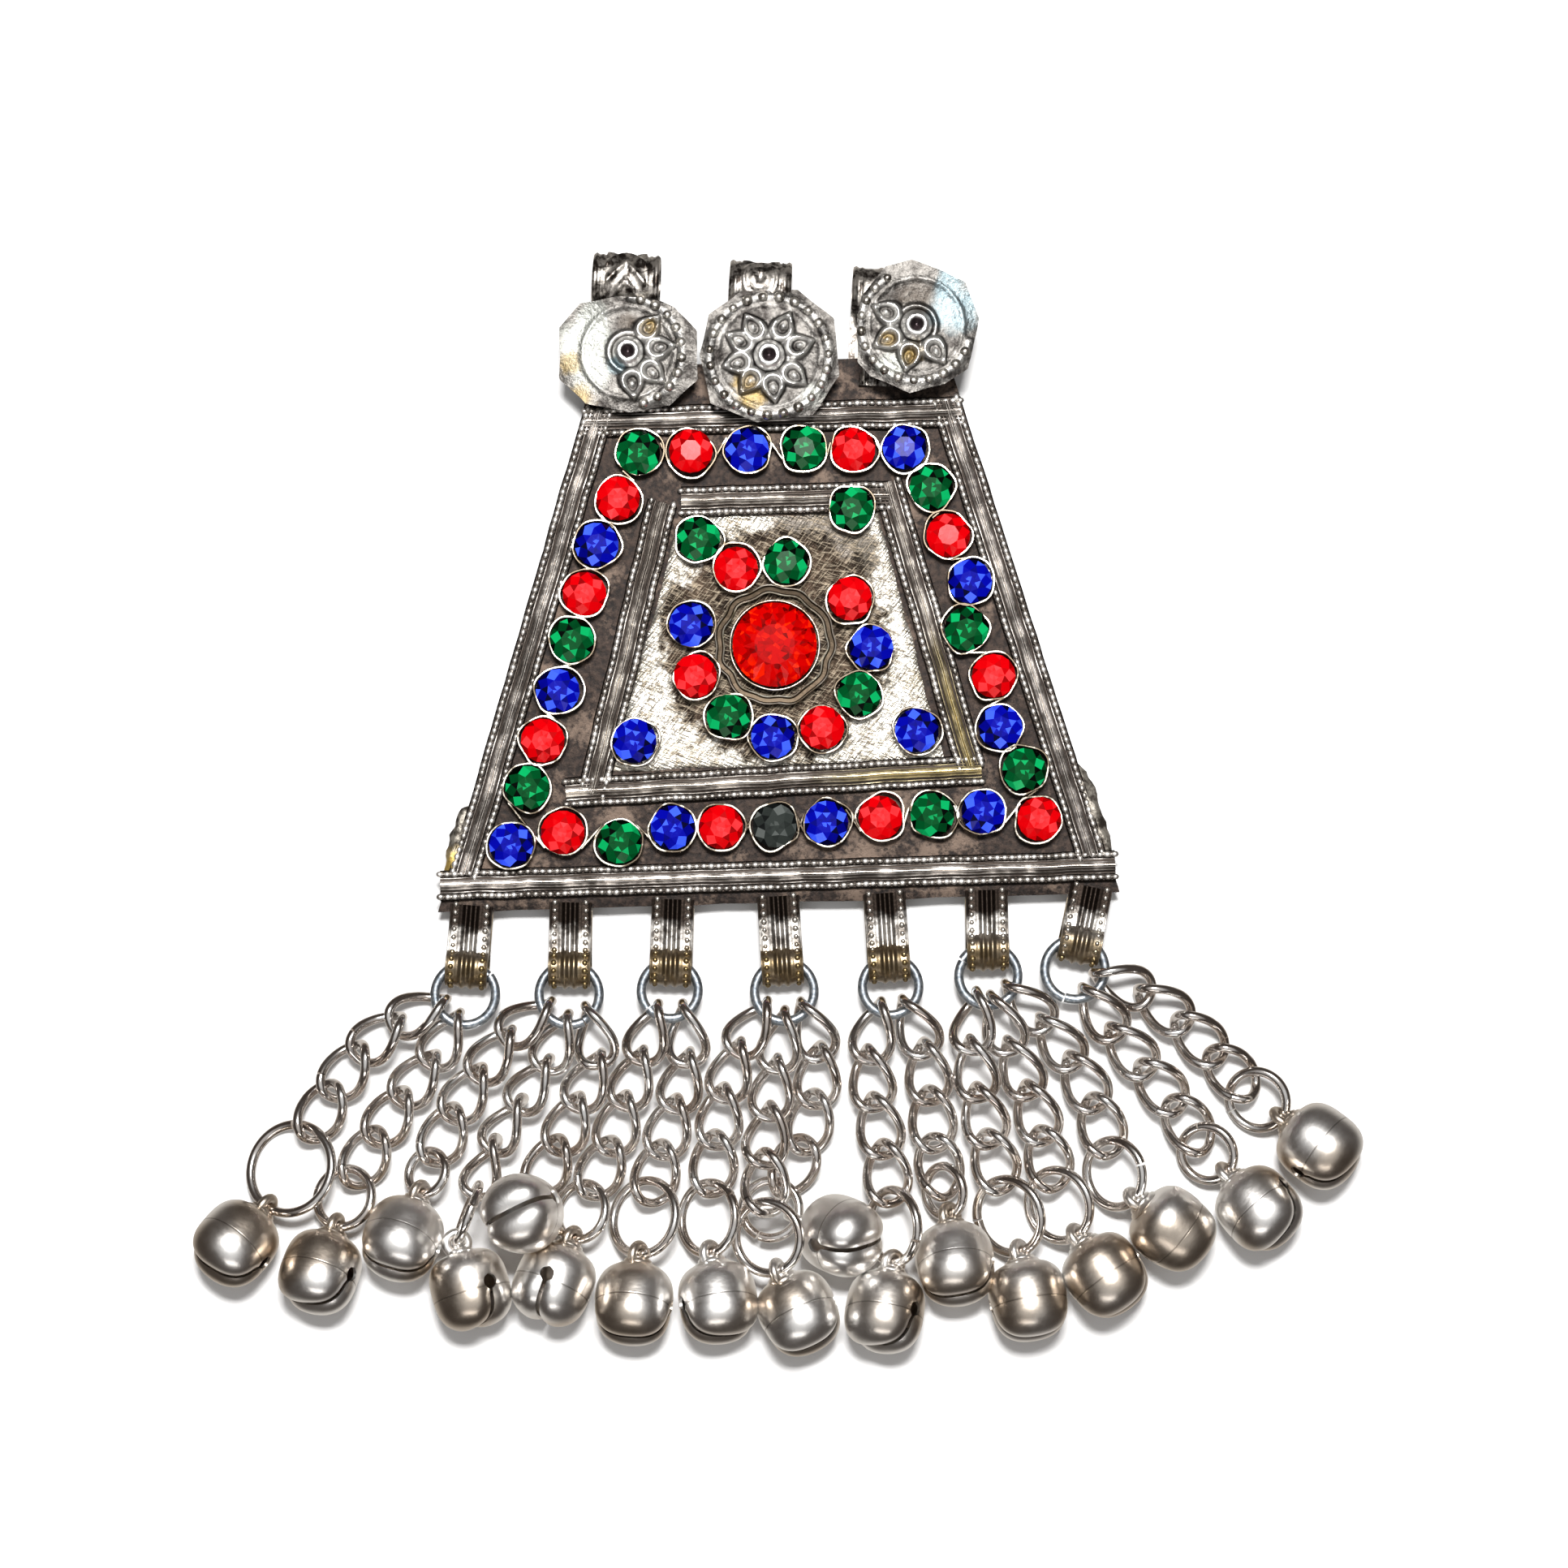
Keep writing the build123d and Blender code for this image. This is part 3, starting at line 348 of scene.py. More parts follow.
def finish(name, make):
    """A finish: make gives the shader's changing and its fixed inputs."""
    material = bpy.data.materials.new(name)
    material.use_nodes = True
    material.node_tree.nodes.clear()
    tree = Tree(material.node_tree)
    shader = tree.node("ShaderNodeBsdfPrincipled", {}, make(tree))
    tree.node("ShaderNodeOutputMaterial", {}, {"Surface": shader})
    return material


def linked(name, data):
    """A new object in the scene."""
    made = bpy.data.objects.new(name, data)
    bpy.context.scene.collection.objects.link(made)
    return made


def made_plain(shape, name):
    """The evaluated shape as a plain piece, in place of the one with its modifiers."""
    depsgraph = bpy.context.evaluated_depsgraph_get()
    mesh = bpy.data.meshes.new_from_object(
        shape.evaluated_get(depsgraph), preserve_all_data_layers=True, depsgraph=depsgraph
    )
    bpy.data.objects.remove(shape)
    return linked(name, mesh)


def placed(piece, slot, *nodes):
    """A finished piece joins the pendant, for these nodes of the source."""
    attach(piece, "root")
    if nodes:
        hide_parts(*nodes)


def sheet_point(across, up, height):
    """Point over the sheet from millimetres along and above its bottom edge."""
    return Vector((
        across * math.cos(SHEET_TURN) - up * math.sin(SHEET_TURN),
        SHEET_Y + across * math.sin(SHEET_TURN) + up * math.cos(SHEET_TURN),
        height,
    ))


def on_sheet(across, up):
    """Millimetres on the sheet from shares of half the bottom width and of the height."""
    return (across * SHEET_BOTTOM / 2, up * SHEET_HEIGHT)


def on_side_edge(side, height):
    """Place on the left (-1) or right (+1) edge at a height above the bottom edge."""
    low = side * SHEET_BOTTOM / 2
    high = SHEET_SKEW + side * SHEET_TOP / 2
    return (low + (high - low) * height / SHEET_HEIGHT, height)


def wander(point, scale, reach):
    """A small shift of a point that changes smoothly over the metal."""
    return noise.noise_vector(Vector(point) * scale) * reach


def grid_faces(rows, columns, first=0, closed=False, turned=False):
    """Faces of a grid of points laid row by row."""
    faces = []
    for row in range(rows - 1):
        for column in range(columns if closed else columns - 1):
            here = first + row * columns + column
            side = first + row * columns + (column + 1) % columns
            face = (here, side, side + columns, here + columns)
            faces.append(face[::-1] if turned else face)
    return faces


def add_line(shape, points, width=1):
    """Adds a line through points in millimetres to a shape of lines, as wide as its wire."""
    line = shape.data.splines.new("POLY")
    line.points.add(len(points) - 1)
    for control, place in zip(line.points, points):
        control.co = (*(place * MM), 1)
        control.radius = width


def line_shape(name):
    """A shape for lines, still empty."""
    curve = bpy.data.curves.new(name, "CURVE")
    curve.dimensions = "3D"
    return linked(name, curve)


def form_tree(name, inputs):
    """A geometry tree with named inputs, and the sockets' own names for the modifier."""
    group = bpy.data.node_groups.new(name, "GeometryNodeTree")
    group.interface.new_socket("Geometry", in_out="INPUT", socket_type="NodeSocketGeometry")
    group.interface.new_socket("Geometry", in_out="OUTPUT", socket_type="NodeSocketGeometry")
    keys = {}
    for label, kind in inputs.items():
        socket = group.interface.new_socket(label, in_out="INPUT", socket_type="NodeSocket" + kind)
        keys[label] = socket.identifier
    tree = Tree(group)
    given = group.nodes.new("NodeGroupInput")
    values = {socket.name: Value(tree, socket) for socket in given.outputs if socket.name}
    return group, keys, tree, values


def formed(shape, form, values):
    """Puts a geometry tree on a shape with these values of its inputs."""
    group, keys = form
    modifier = shape.modifiers.new(group.name, "NODES")
    modifier.node_group = group
    for label, value in values.items():
        modifier[keys[label]] = value


def ended(tree, geometry, material):
    """Real, smooth metal of one finish, out of a geometry tree."""
    real = tree.node("GeometryNodeRealizeInstances", {}, {0: geometry})
    smooth = tree.node("GeometryNodeSetShadeSmooth", {}, {0: real})
    metal = tree.node("GeometryNodeSetMaterial", {}, {"Geometry": smooth, "Material": material})
    tree.node("NodeGroupOutput", {}, {0: metal})


def wire_form():
    """Round wire along curves, as thick as each curve's radius, with flat cut ends."""
    group, keys, tree, given = form_tree(
        "bent wire", {"Spacing": "Float", "Sides": "Int", "Material": "Material"}
    )
    path = tree.node(
        "GeometryNodeResampleCurve", {"mode": "LENGTH"},
        {"Curve": given["Geometry"], "Length": given["Spacing"]},
    )
    section = tree.node(
        "GeometryNodeCurvePrimitiveCircle", {}, {"Resolution": given["Sides"], "Radius": MM / 2}
    )
    wire = tree.node(
        "GeometryNodeCurveToMesh", {}, {"Curve": path, "Profile Curve": section, "Fill Caps": True}
    )
    ended(tree, wire, given["Material"])
    return group, keys


def bead_form():
    """A row of small beads along curves, no two quite alike."""
    group, keys, tree, given = form_tree(
        "bead row",
        {"Pitch": "Float", "Long": "Float", "Wide": "Float", "High": "Float", "Seed": "Int",
         "Material": "Material"},
    )
    row = tree.node(
        "GeometryNodeResampleCurve", {"mode": "LENGTH"},
        {"Curve": given["Geometry"], "Length": given["Pitch"]},
    )
    run = tree.node("GeometryNodeInputTangent")
    turn = tree.node("FunctionNodeAlignRotationToVector", {"axis": "X"}, {"Vector": run})
    bead = tree.node("GeometryNodeMeshIcoSphere", {}, {"Radius": 1.0, "Subdivisions": 2})
    size = tree.node("ShaderNodeCombineXYZ", {}, {0: given["Long"], 1: given["Wide"], 2: given["High"]})
    uneven = tree.node(
        "FunctionNodeRandomValue", {"data_type": "FLOAT"}, {2: 0.82, 3: 1.1, "Seed": given["Seed"]}, 1
    )
    scale = tree.vector("SCALE", {0: size, "Scale": uneven})
    beads = tree.node(
        "GeometryNodeInstanceOnPoints", {},
        {"Points": row, "Instance": bead, "Rotation": turn, "Scale": scale},
    )
    ended(tree, beads, given["Material"])
    return group, keys


WIRE = wire_form()
BEADS = bead_form()


def wire_piece(name, shape, material, sides=12, spacing=0.35):
    """The lines of a shape as bent wire, with a ring of points every spacing millimetres."""
    formed(shape, WIRE, {"Spacing": spacing * MM, "Sides": sides, "Material": material})
    return made_plain(shape, name)


def bead_piece(name, rows, material, pitch, long, wide, high, seed):
    """Rows of beads of these sizes, in millimetres."""
    shape = line_shape(name + "_rows")
    for row in rows:
        add_line(shape, row)
    sizes = {"Pitch": pitch, "Long": long, "Wide": wide, "High": high}
    formed(
        shape, BEADS,
        {**{label: size * MM for label, size in sizes.items()}, "Seed": seed, "Material": material},
    )
    return made_plain(shape, name)


# Places read in the picture, which is 1932 pixels wide: a plan point, and for a spot its radius
PICTURE_MIDDLE = (959, 993.5)
PIXEL = 0.085


def pictured(across, down, *radius):
    """Plan place, and radius, from where something lies in the picture of the pendant."""
    return ((across - PICTURE_MIDDLE[0]) * PIXEL, (PICTURE_MIDDLE[1] - down) * PIXEL, *radius)


BRASSY_CORNER = pictured(1190, 960)
BRASSY_LUMP = pictured(562, 1068)
STONE_RING_MIDDLE = sheet_point(*on_sheet(*CENTRE_STONE), 0).xy
ENGRAVED_CORNER = pictured(1010, 685)
PALE_SPOTS = (
    pictured(722, 430, 2.6), pictured(730, 398, 1.7), pictured(728, 466, 1.9),
    pictured(1096, 455, 1.1), pictured(1000, 492, 1.0),
)
BLUE_SPOTS = (pictured(1176, 385, 2.4), pictured(1168, 352, 1.2), pictured(760, 452, 0.8))
BRASS_SPOTS = (
    pictured(705, 450, 1.2), pictured(718, 492, 1.3), pictured(920, 483, 1.4),
    pictured(930, 500, 1.0), pictured(1096, 425, 0.9), pictured(1125, 440, 0.9),
    pictured(805, 408, 0.8),
)
DARK_SPOTS = (pictured(1128, 372, 1.8), pictured(776, 400, 1.0))
DISC_STAINS = (
    (PALE_SPOTS, tint(164, 166, 160)), (BLUE_SPOTS, tint(128, 146, 152)),
    (BRASS_SPOTS, tint(134, 114, 72)), (DARK_SPOTS, tint(66, 60, 54)),
)


def oxidised_sheet(tree):
    broad = tree.grain(0.16, 5)
    fine = tree.grain(1.7, 6, 0.7)
    brown = tree.blend(fine.step(0.35, 0.7), tint(26, 21, 19), tint(64, 53, 47))
    colour = tree.blend((broad + 0.4 * fine - 0.2).step(0.52, 0.68), brown, tint(100, 86, 76))
    return tree.metal(colour, 0.38 + 0.3 * fine, 0.7, fine, 0.12, 0.8)


def strip_lines(tree, bright_low, bright_high, cast=None):
    """Silver lines that stand out of grooves darkened with painted shade, more worn in some places."""
    height = tree.height()
    worn = tree.grain(0.35, 5)
    fine = tree.grain(3.0, 4)
    crest = (height + 0.5 * worn - 0.25).step(SHEET_FACE + 0.52, SHEET_FACE + 0.84)
    bright = tree.blend(worn.step(0.4, 0.64), bright_low, bright_high)
    if cast:
        spot, radius, colour = cast
        bright = tree.blend(tree.near(spot, radius, 5, 6 * worn - 3) * 0.8, bright, colour)
    # Painted shade: below the crests the grooves take the dark colour.
    colour = tree.blend(crest, tint(58, 52, 48), bright)
    return tree.metal(colour, 0.46 - 0.16 * crest + 0.1 * fine, 0.95, fine, 0.06, 0.6)


def milled_silver(tree):
    return strip_lines(tree, tint(138, 132, 126), tint(216, 210, 204))


def frame_silver(tree):
    """As the border, with a brassy cast towards the lower right."""
    return strip_lines(
        tree, tint(140, 132, 124), tint(206, 200, 192), (BRASSY_CORNER, 13, tint(186, 170, 118))
    )


def bead_silver(tree):
    """Bright crowns that wear brighter here and there, darkened at their feet by painted shade."""
    worn = tree.grain(0.5, 4)
    crown = (tree.height() + 0.2 * worn).step(SHEET_FACE + 0.4, SHEET_FACE + 0.68)
    bright = tree.blend(worn.step(0.38, 0.6), tint(150, 144, 137), tint(236, 232, 227))
    # Painted shade: the beads' lower parts take the dark colour.
    return tree.metal(tree.blend(crown, tint(72, 66, 61), bright), 0.34 + 0.14 * worn)


def scratched_nickel(tree):
    """Scraped bright metal, with a dark stain about the stones and fine bright scratches in it."""
    broad = tree.grain(0.42, 5, 0.7)
    steep = tree.grain(1.0, 2, 0.5, (5, 0.5, 1), -38)
    flat = tree.grain(1.0, 2, 0.5, (5, 0.45, 1), 66)
    cross = tree.grain(1.0, 2, 0.5, (4, 0.5, 1), 84)
    scrape = steep.step(0.52, 0.64) + flat.step(0.54, 0.66) + cross.step(0.55, 0.67)
    patina = tree.near(STONE_RING_MIDDLE, 12.2, 0.9, 8 * broad - 4)
    upper = tree.near(ENGRAVED_CORNER, 6.5, 1.0, 8 * broad - 4)
    stain = patina + upper * 0.85 * (1 - patina)
    cloud = broad.step(0.36, 0.62)
    clean = tree.blend(cloud, tint(196, 188, 172), tint(250, 246, 236))
    clean = tree.blend(scrape * 0.5, clean, tint(142, 130, 112))
    dull = tree.blend(cloud, tint(34, 28, 24), tint(76, 64, 54))
    dull = tree.blend(scrape * 0.34, dull, tint(206, 190, 166))
    strokes = steep + flat * 0.8 + cross * 0.7
    colour = tree.blend(stain, clean, dull)
    return tree.metal(colour, 0.34 + 0.16 * stain + 0.08 * scrape, 0.92, strokes, 0.24, 0.8)


def bezel_silver(tree):
    worn = tree.grain(0.36, 4)
    edge = (tree.height() + 0.3 * worn).step(SHEET_FACE + 0.95, SHEET_FACE + 1.5)
    bright = tree.blend(worn.step(0.42, 0.58), tint(84, 75, 64), tint(238, 233, 218))
    # Painted shade: each wall takes the dark colour below its top edge.
    return tree.metal(tree.blend(edge, tint(62, 54, 46), bright), 0.42 - 0.12 * edge)


def collar_silver(tree):
    """Dull and yellowish, its thin edges a little brighter than the trough between them, which is darkened
    with painted shade.
    """
    worn = tree.grain(0.5, 5)
    edge = (tree.height() + 0.3 * worn).step(PANEL_FACE + 0.95, PANEL_FACE + 1.3)
    bright = tree.blend(worn.step(0.36, 0.54), tint(156, 146, 122), tint(248, 244, 230))
    # Painted shade: the trough takes the dark colour.
    colour = tree.blend(edge, tint(66, 57, 47), bright)
    return tree.metal(colour, 0.46 - 0.12 * edge, 0.9, worn, 0.2, 0.6)


def solder(tree):
    worn = tree.grain(0.8, 5)
    brassy = tree.near(BRASSY_LUMP, 1.6, 0.8, 2 * worn - 1)
    grey = tree.blend(worn.step(0.4, 0.6), tint(70, 64, 58), tint(158, 152, 142))
    colour = tree.blend(brassy, grey, tint(196, 168, 96))
    return tree.metal(colour, 0.5, 0.8, worn, 0.4, 0.8)


def stamped_disc(tree):
    """Tarnished nickel with painted highlights on the raised pattern, painted shade over the low ground and
    in the boss's dimple, and pale, bluish and brassy patches.
    """
    lay = tree.lay()
    relief = tree.part(lay, 0)
    radius = tree.part(lay, 1)
    worn = tree.grain(0.5, 6, 0.65)
    fine = tree.grain(2.2, 4)
    crest = (relief + 0.5 * worn).step(0.34, 0.8)
    grey = tree.blend(worn.step(0.36, 0.64), tint(46, 43, 41), tint(116, 113, 109))
    # Painted highlight: the raised pattern turns pale.
    colour = tree.blend(crest, grey, tint(226, 225, 222))
    # Painted shade: the low ground between the raised pattern turns dark.
    colour = tree.blend((relief + 0.3 * fine).step(0.2, 0.04) * 0.6, colour, tint(54, 50, 48))
    # Painted shade: the middle of the boss's dimple turns dark.
    colour = tree.blend(radius.step(0.85, 0.6), colour, tint(70, 62, 64))
    for spots, stain in DISC_STAINS:
        for across, up, reach in spots:
            spot = tree.near((across, up), reach, 0.3 + 0.25 * reach, 2.4 * worn - 1.2)
            colour = tree.blend(spot * 0.6, colour, stain)
    return tree.metal(colour, 0.42 - 0.14 * crest, 0.9, fine + worn, 0.16, 0.7)


def rim_bead_silver(tree):
    worn = tree.grain(0.7, 5)
    colour = tree.blend(worn.step(0.36, 0.6), tint(104, 98, 90), tint(224, 220, 212))
    return tree.metal(colour, 0.26 + 0.16 * worn)


def bail_silver(tree):
    worn = tree.grain(0.7, 5)
    fine = tree.grain(3.0, 4)
    crest = tree.grain(1.1, 4, place=tree.lay())
    colour = tree.blend((crest + worn).step(0.84, 1.14), tint(58, 52, 48), tint(204, 198, 190))
    return tree.metal(colour, 0.26 + 0.2 * fine, 0.95, fine, 0.08, 0.7)


def loop_silver(tree):
    """Dark where it leaves the plate, bright over the middle, a dull brass at its far end."""
    along = tree.part(tree.lay(), 0)
    worn = tree.grain(0.6, 5)
    fine = tree.grain(3.0, 4)
    shift = 2.4 * worn - 1.2
    bright = tree.blend(worn.step(0.4, 0.6), tint(116, 110, 104), tint(216, 212, 206))
    colour = tree.blend((along + shift).step(1.9, 3.6), tint(44, 38, 34), bright)
    colour = tree.blend((along + shift).step(4.6, 6.4) * 0.9, colour, tint(112, 96, 70))
    return tree.metal(colour, 0.24 + 0.2 * fine, 0.95, fine, 0.05, 0.5)


def loop_bead_silver(tree):
    worn = tree.grain(0.6, 5)
    up = tree.part(tree.place(), 1) + worn * 3
    colour = tree.blend(up.step(-14.5, -12.0), tint(138, 120, 86), tint(186, 181, 173))
    return tree.metal(colour, 0.28 + 0.15 * worn)


def zinc(tree):
    fine = tree.grain(2.5, 4)
    colour = tree.blend(fine.step(0.35, 0.65), tint(122, 130, 138), tint(172, 178, 184))
    return tree.metal(colour, 0.3 + 0.15 * fine, 0.95, fine, 0.03, 0.4)


def bright_nickel(tree):
    broad = tree.grain(0.25, 3)
    fine = tree.grain(2.4, 3)
    colour = tree.blend(broad.step(0.36, 0.64), tint(206, 196, 188), tint(236, 233, 230))
    return tree.metal(colour, 0.1 + 0.1 * fine, 1.0, fine, 0.02, 0.35)


def satin_nickel(tree):
    """Brushed round the bell, with a painted warm reflection low on its sides, and a fine seam about its
    middle.
    """
    lay = tree.lay()
    belt = tree.part(lay, 1)
    brushed = tree.grain(1.0, 3, 0.6, (2.2, 9, 1), place=lay)
    broad = tree.grain(0.3, 3)
    fine = tree.grain(4.0, 3)
    off_seam = belt - 0.1
    seam = (off_seam * off_seam).step(0.0006, 0.0001)
    own = tree.grain(0.085, 1)
    colour = tree.blend(own.step(0.4, 0.56), tint(196, 184, 170), tint(240, 238, 235))
    # Painted reflection: low on the bell the colour turns warm brown.
    low = (tree.height() + 1.2 * broad).step(3.6, 1.6)
    colour = tree.blend(low * 0.5, colour, tint(176, 152, 126))
    colour = tree.blend(seam * 0.5, colour, tint(96, 86, 76))
    roughness = 0.24 + 0.12 * brushed + 0.03 * fine
    return tree.metal(colour, roughness, 1.0, brushed - seam * 0.6, 0.03, 0.45)


def cut_glass(deep, middle, light, painted_glow, cells=0.0):
    """Foiled glass with painted reflections: each facet is painted lighter or deeper, also in small cells,
    and the glass glows a little though it is no lamp.
    """
    def make(tree):
        tone = tree.part(tree.lay(), 0)
        cloud = tree.grain(0.9, 3)
        cell = tree.node("ShaderNodeTexVoronoi", {}, {"Vector": tree.place(), "Scale": 1.5}, "Color")
        facet = tree.part(cell, 0)
        shade = tree.node(
            "ShaderNodeValToRGB", {"stops": ((0.0, deep), (1.0, light), (0.42, middle), (0.66, middle))},
            {0: tone * (1 - cells) + facet * cells + 0.25 * cloud - 0.12},
        )
        # Painted light: the glass glows with its own facet colours.
        return {
            "Base Color": shade, "Metallic": 0.0, "Roughness": 0.14, "Specular IOR Level": 0.14,
            "Emission Color": shade, "Emission Strength": painted_glow,
        }
    return make


# Shades of each glass, deep to light, between which the facets' painted reflections run.
RED_GLASS = (tint(92, 0, 6), tint(186, 0, 14), tint(232, 58, 62))
GREEN_GLASS = (tint(0, 10, 6), tint(0, 68, 34), tint(16, 150, 84))
BLUE_GLASS = (tint(2, 2, 40), tint(10, 14, 138), tint(58, 86, 244))
DARK_GLASS = (tint(20, 22, 22), tint(46, 50, 48), tint(84, 88, 86))
CENTRE_GLASS = (tint(78, 0, 0), tint(172, 0, 0), tint(240, 44, 10))


class Shape:
    """Points, faces and laid out coordinates that are gathered before a piece is made."""

    def __init__(self):
        self.points = []
        self.faces = []
        self.lay = []

    def strip(self, path, section, side=None, reach=None, closed=False, taper=None):
        """A closed section swept along a path, across a fixed side or else level."""
        first = len(self.points)
        last = len(path) - 1
        along = 0
        for index, here in enumerate(path):
            before = path[index - 1] if index or closed else here
            after = path[(index + 1) % len(path)] if index < last or closed else here
            run = (after - before).normalized()
            across_way = side or run.cross(UP).normalized()
            rise = across_way.cross(run)
            if index:
                along += (here - path[index - 1]).length
            width = taper(along) if taper else 1
            for across, height in section:
                lift = reach(across, along) if reach and height > 0 else 0
                self.points.append(here + across_way * across * width + rise * (height + lift))
                self.lay.append((along, across))
        count = len(section)
        rows = len(path)
        self.faces += grid_faces(rows, count, first, closed=True, turned=True)
        if closed:
            for column in range(count):
                low = first + (rows - 1) * count
                side_column = (column + 1) % count
                self.faces.append((low + column, first + column, first + side_column, low + side_column))
        else:
            self.faces.append(tuple(range(first, first + count))[::-1])
            self.faces.append(tuple(range(first + (rows - 1) * count, first + rows * count)))

    def piece(self, name, material):
        mesh = bpy.data.meshes.new(name)
        mesh.from_pydata([tuple(point * MM) for point in self.points], [], self.faces)
        if self.lay:
            laid = mesh.uv_layers.new(name="lay")
            for corner in mesh.loops:
                laid.data[corner.index].uv = self.lay[corner.vertex_index]
        mesh.shade_smooth()
        mesh.materials.append(material)
        return linked(name, mesh)


def crisp(piece, degrees=38):
    """Smooth faces, with edges sharper than this kept."""
    piece.data.shade_smooth()
    piece.data.set_sharp_from_angle(angle=math.radians(degrees))
    return piece


# Base sheet: a beaten trapezoid, a little uneven, with worn edges
SHEET_CELLS = 64
SHEET_WANDER = 0.1
EDGE_WANDER = 0.16
EDGE_WEAR = 0.16


def on_rim(row, column, cells):
    return min(row, cells - row, column, cells - column) == 0


def sheet_shape():
    """The front and the back as grids, and the wall between their rims."""
    shape = Shape()
    count = SHEET_CELLS + 1
    for height, dents, wear in ((SHEET_FACE, 0.9, -EDGE_WEAR), (SHEET_LIFT, 0.3, EDGE_WEAR)):
        first = len(shape.points)
        for row in range(count):
            up = SHEET_HEIGHT * row / SHEET_CELLS
            left, right = on_side_edge(-1, up)[0], on_side_edge(1, up)[0]
            for column in range(count):
                point = sheet_point(left + (right - left) * column / SHEET_CELLS, up, height)
                shift = wander(point, 0.22, 1)
                if on_rim(row, column, SHEET_CELLS):
                    point += Vector((shift.x * EDGE_WANDER, shift.y * EDGE_WANDER, wear))
                else:
                    point.z += shift.z * dents * SHEET_WANDER
                shape.points.append(point)
        shape.faces += grid_faces(count, count, first, turned=height == SHEET_LIFT)
    last = SHEET_CELLS * count
    edge = [*range(count), *range(count + SHEET_CELLS, last + count, count)]
    edge += [*range(last + SHEET_CELLS - 1, last - 1, -1), *range(last - count, 0, -count)]
    under = count * count
    for here, after in zip(edge, edge[1:] + edge[:1]):
        shape.faces.append((here, here + under, after + under, after))
    return shape


base_sheet = crisp(sheet_shape().piece("base_sheet", finish("oxidised_sheet", oxidised_sheet)), 50)
placed(base_sheet, "plate_metal", "base_plate")

# Milled strips. The section runs over the strip: edge, bead channel, and fine lines on a ridge
HALF_SECTION = (
    (1.6, 0.0), (1.6, 0.36), (1.56, 0.46), (1.51, 0.36), (1.46, 0.28), (0.9, 0.28), (0.84, 0.42),
    (0.78, 0.6), (0.7, 0.6), (0.64, 0.44), (0.52, 0.46), (0.46, 0.74), (0.38, 0.78), (0.31, 0.6),
    (0.22, 0.62), (0.15, 0.86), (0.07, 0.88),
)
STRIP_SECTION = (
    HALF_SECTION + ((0.0, 0.72),) + tuple((-across, height) for across, height in HALF_SECTION[::-1])
)
BEAD_ROW = 1.18
BEAD_FOOT = 0.4
STRIP_STEP = 1.3


def strip_path(start, end, offset=STRIP_WIDTH / 2, height=0.0):
    """Points along a strip that lies to the left of the run from start to end, a little uneven."""
    foot = sheet_point(*start, SHEET_FACE + height)
    run = sheet_point(*end, SHEET_FACE + height) - foot
    left = UP.cross(run).normalized()
    count = max(2, round(run.length / STRIP_STEP))
    path = []
    for index in range(count + 1):
        point = foot + run * (index / count) + left * offset
        shift = wander(foot + run * (index / count), 0.35, 0.11)
        path.append(point + left * shift.x + UP * abs(shift.z) * 0.6)
    return path


side_low = BOTTOM_STRIP_UP + STRIP_WIDTH
side_high = SHEET_HEIGHT - TOP_STRIP_DOWN
BORDER_RUNS = (
    (on_side_edge(-1, BOTTOM_STRIP_UP), on_side_edge(1, BOTTOM_STRIP_UP)),
    (on_side_edge(1, side_low), on_side_edge(1, side_high)),
    (on_side_edge(1, side_high), on_side_edge(-1, side_high)),
    (on_side_edge(-1, side_high), on_side_edge(-1, side_low)),
)
FRAME_RUNS = tuple((on_sheet(*start), on_sheet(*end)) for start, end in FRAME_STRIPS)


def milled_strips(name, runs, make, seed):
    """Strips along these runs, and the two rows of beads on each."""
    shape = Shape()
    rows = []
    for start, end in runs:
        shape.strip(strip_path(start, end), STRIP_SECTION)
        for offset in (STRIP_WIDTH / 2 - BEAD_ROW, STRIP_WIDTH / 2 + BEAD_ROW):
            rows.append(strip_path(start, end, offset, BEAD_FOOT))
    strips = crisp(shape.piece(name + "_strips", finish(name + "_silver", make)), 25)
    beads = bead_piece(name + "_beads", rows, BEAD_METAL, 0.76, 0.43, 0.33, 0.33, seed)
    placed(strips, "plate_metal", "base_plate")
    placed(beads, "plate_metal", "base_plate")


BEAD_METAL = finish("bead_silver", bead_silver)
milled_strips("border", BORDER_RUNS, milled_silver, 3)
milled_strips("frame", FRAME_RUNS, frame_silver, 8)

# Bright inner panel, its edges a little uneven
PANEL_CELLS = 48
PANEL_WANDER = 0.16
PANEL_SUNK = 0.05


def panel_shape():
    shape = Shape()
    low_left, low_right, high_right, high_left = [Vector(on_sheet(*corner)) for corner in PANEL]
    count = PANEL_CELLS + 1
    for row in range(count):
        for column in range(count):
            share = column / PANEL_CELLS
            plan = low_left.lerp(low_right, share).lerp(high_left.lerp(high_right, share), row / PANEL_CELLS)
            point = sheet_point(*plan, PANEL_FACE)
            shift = wander(point, 0.5, PANEL_WANDER)
            if on_rim(row, column, PANEL_CELLS):
                point += Vector((shift.x, shift.y, 0))
                point.z = SHEET_FACE - PANEL_SUNK
            else:
                point.z += shift.z / 2
            shape.points.append(point)
    shape.faces = grid_faces(count, count)
    return shape


panel = crisp(panel_shape().piece("bright_panel", finish("scratched_nickel", scratched_nickel)), 50)
placed(panel, "plate_metal", "base_plate")

# Bezels: a thin wall about each stone, and the strip that runs on to the next in an S
BEZEL_STEPS = 40
BEZEL_UNEVEN = 0.4
BEZEL_FOOT = 0.2
WALL_TOP_ROUND = 0.07
DOUBLE_STRIPS = (17, 18, 19)  # stones that a strip joins to the last one on both sides


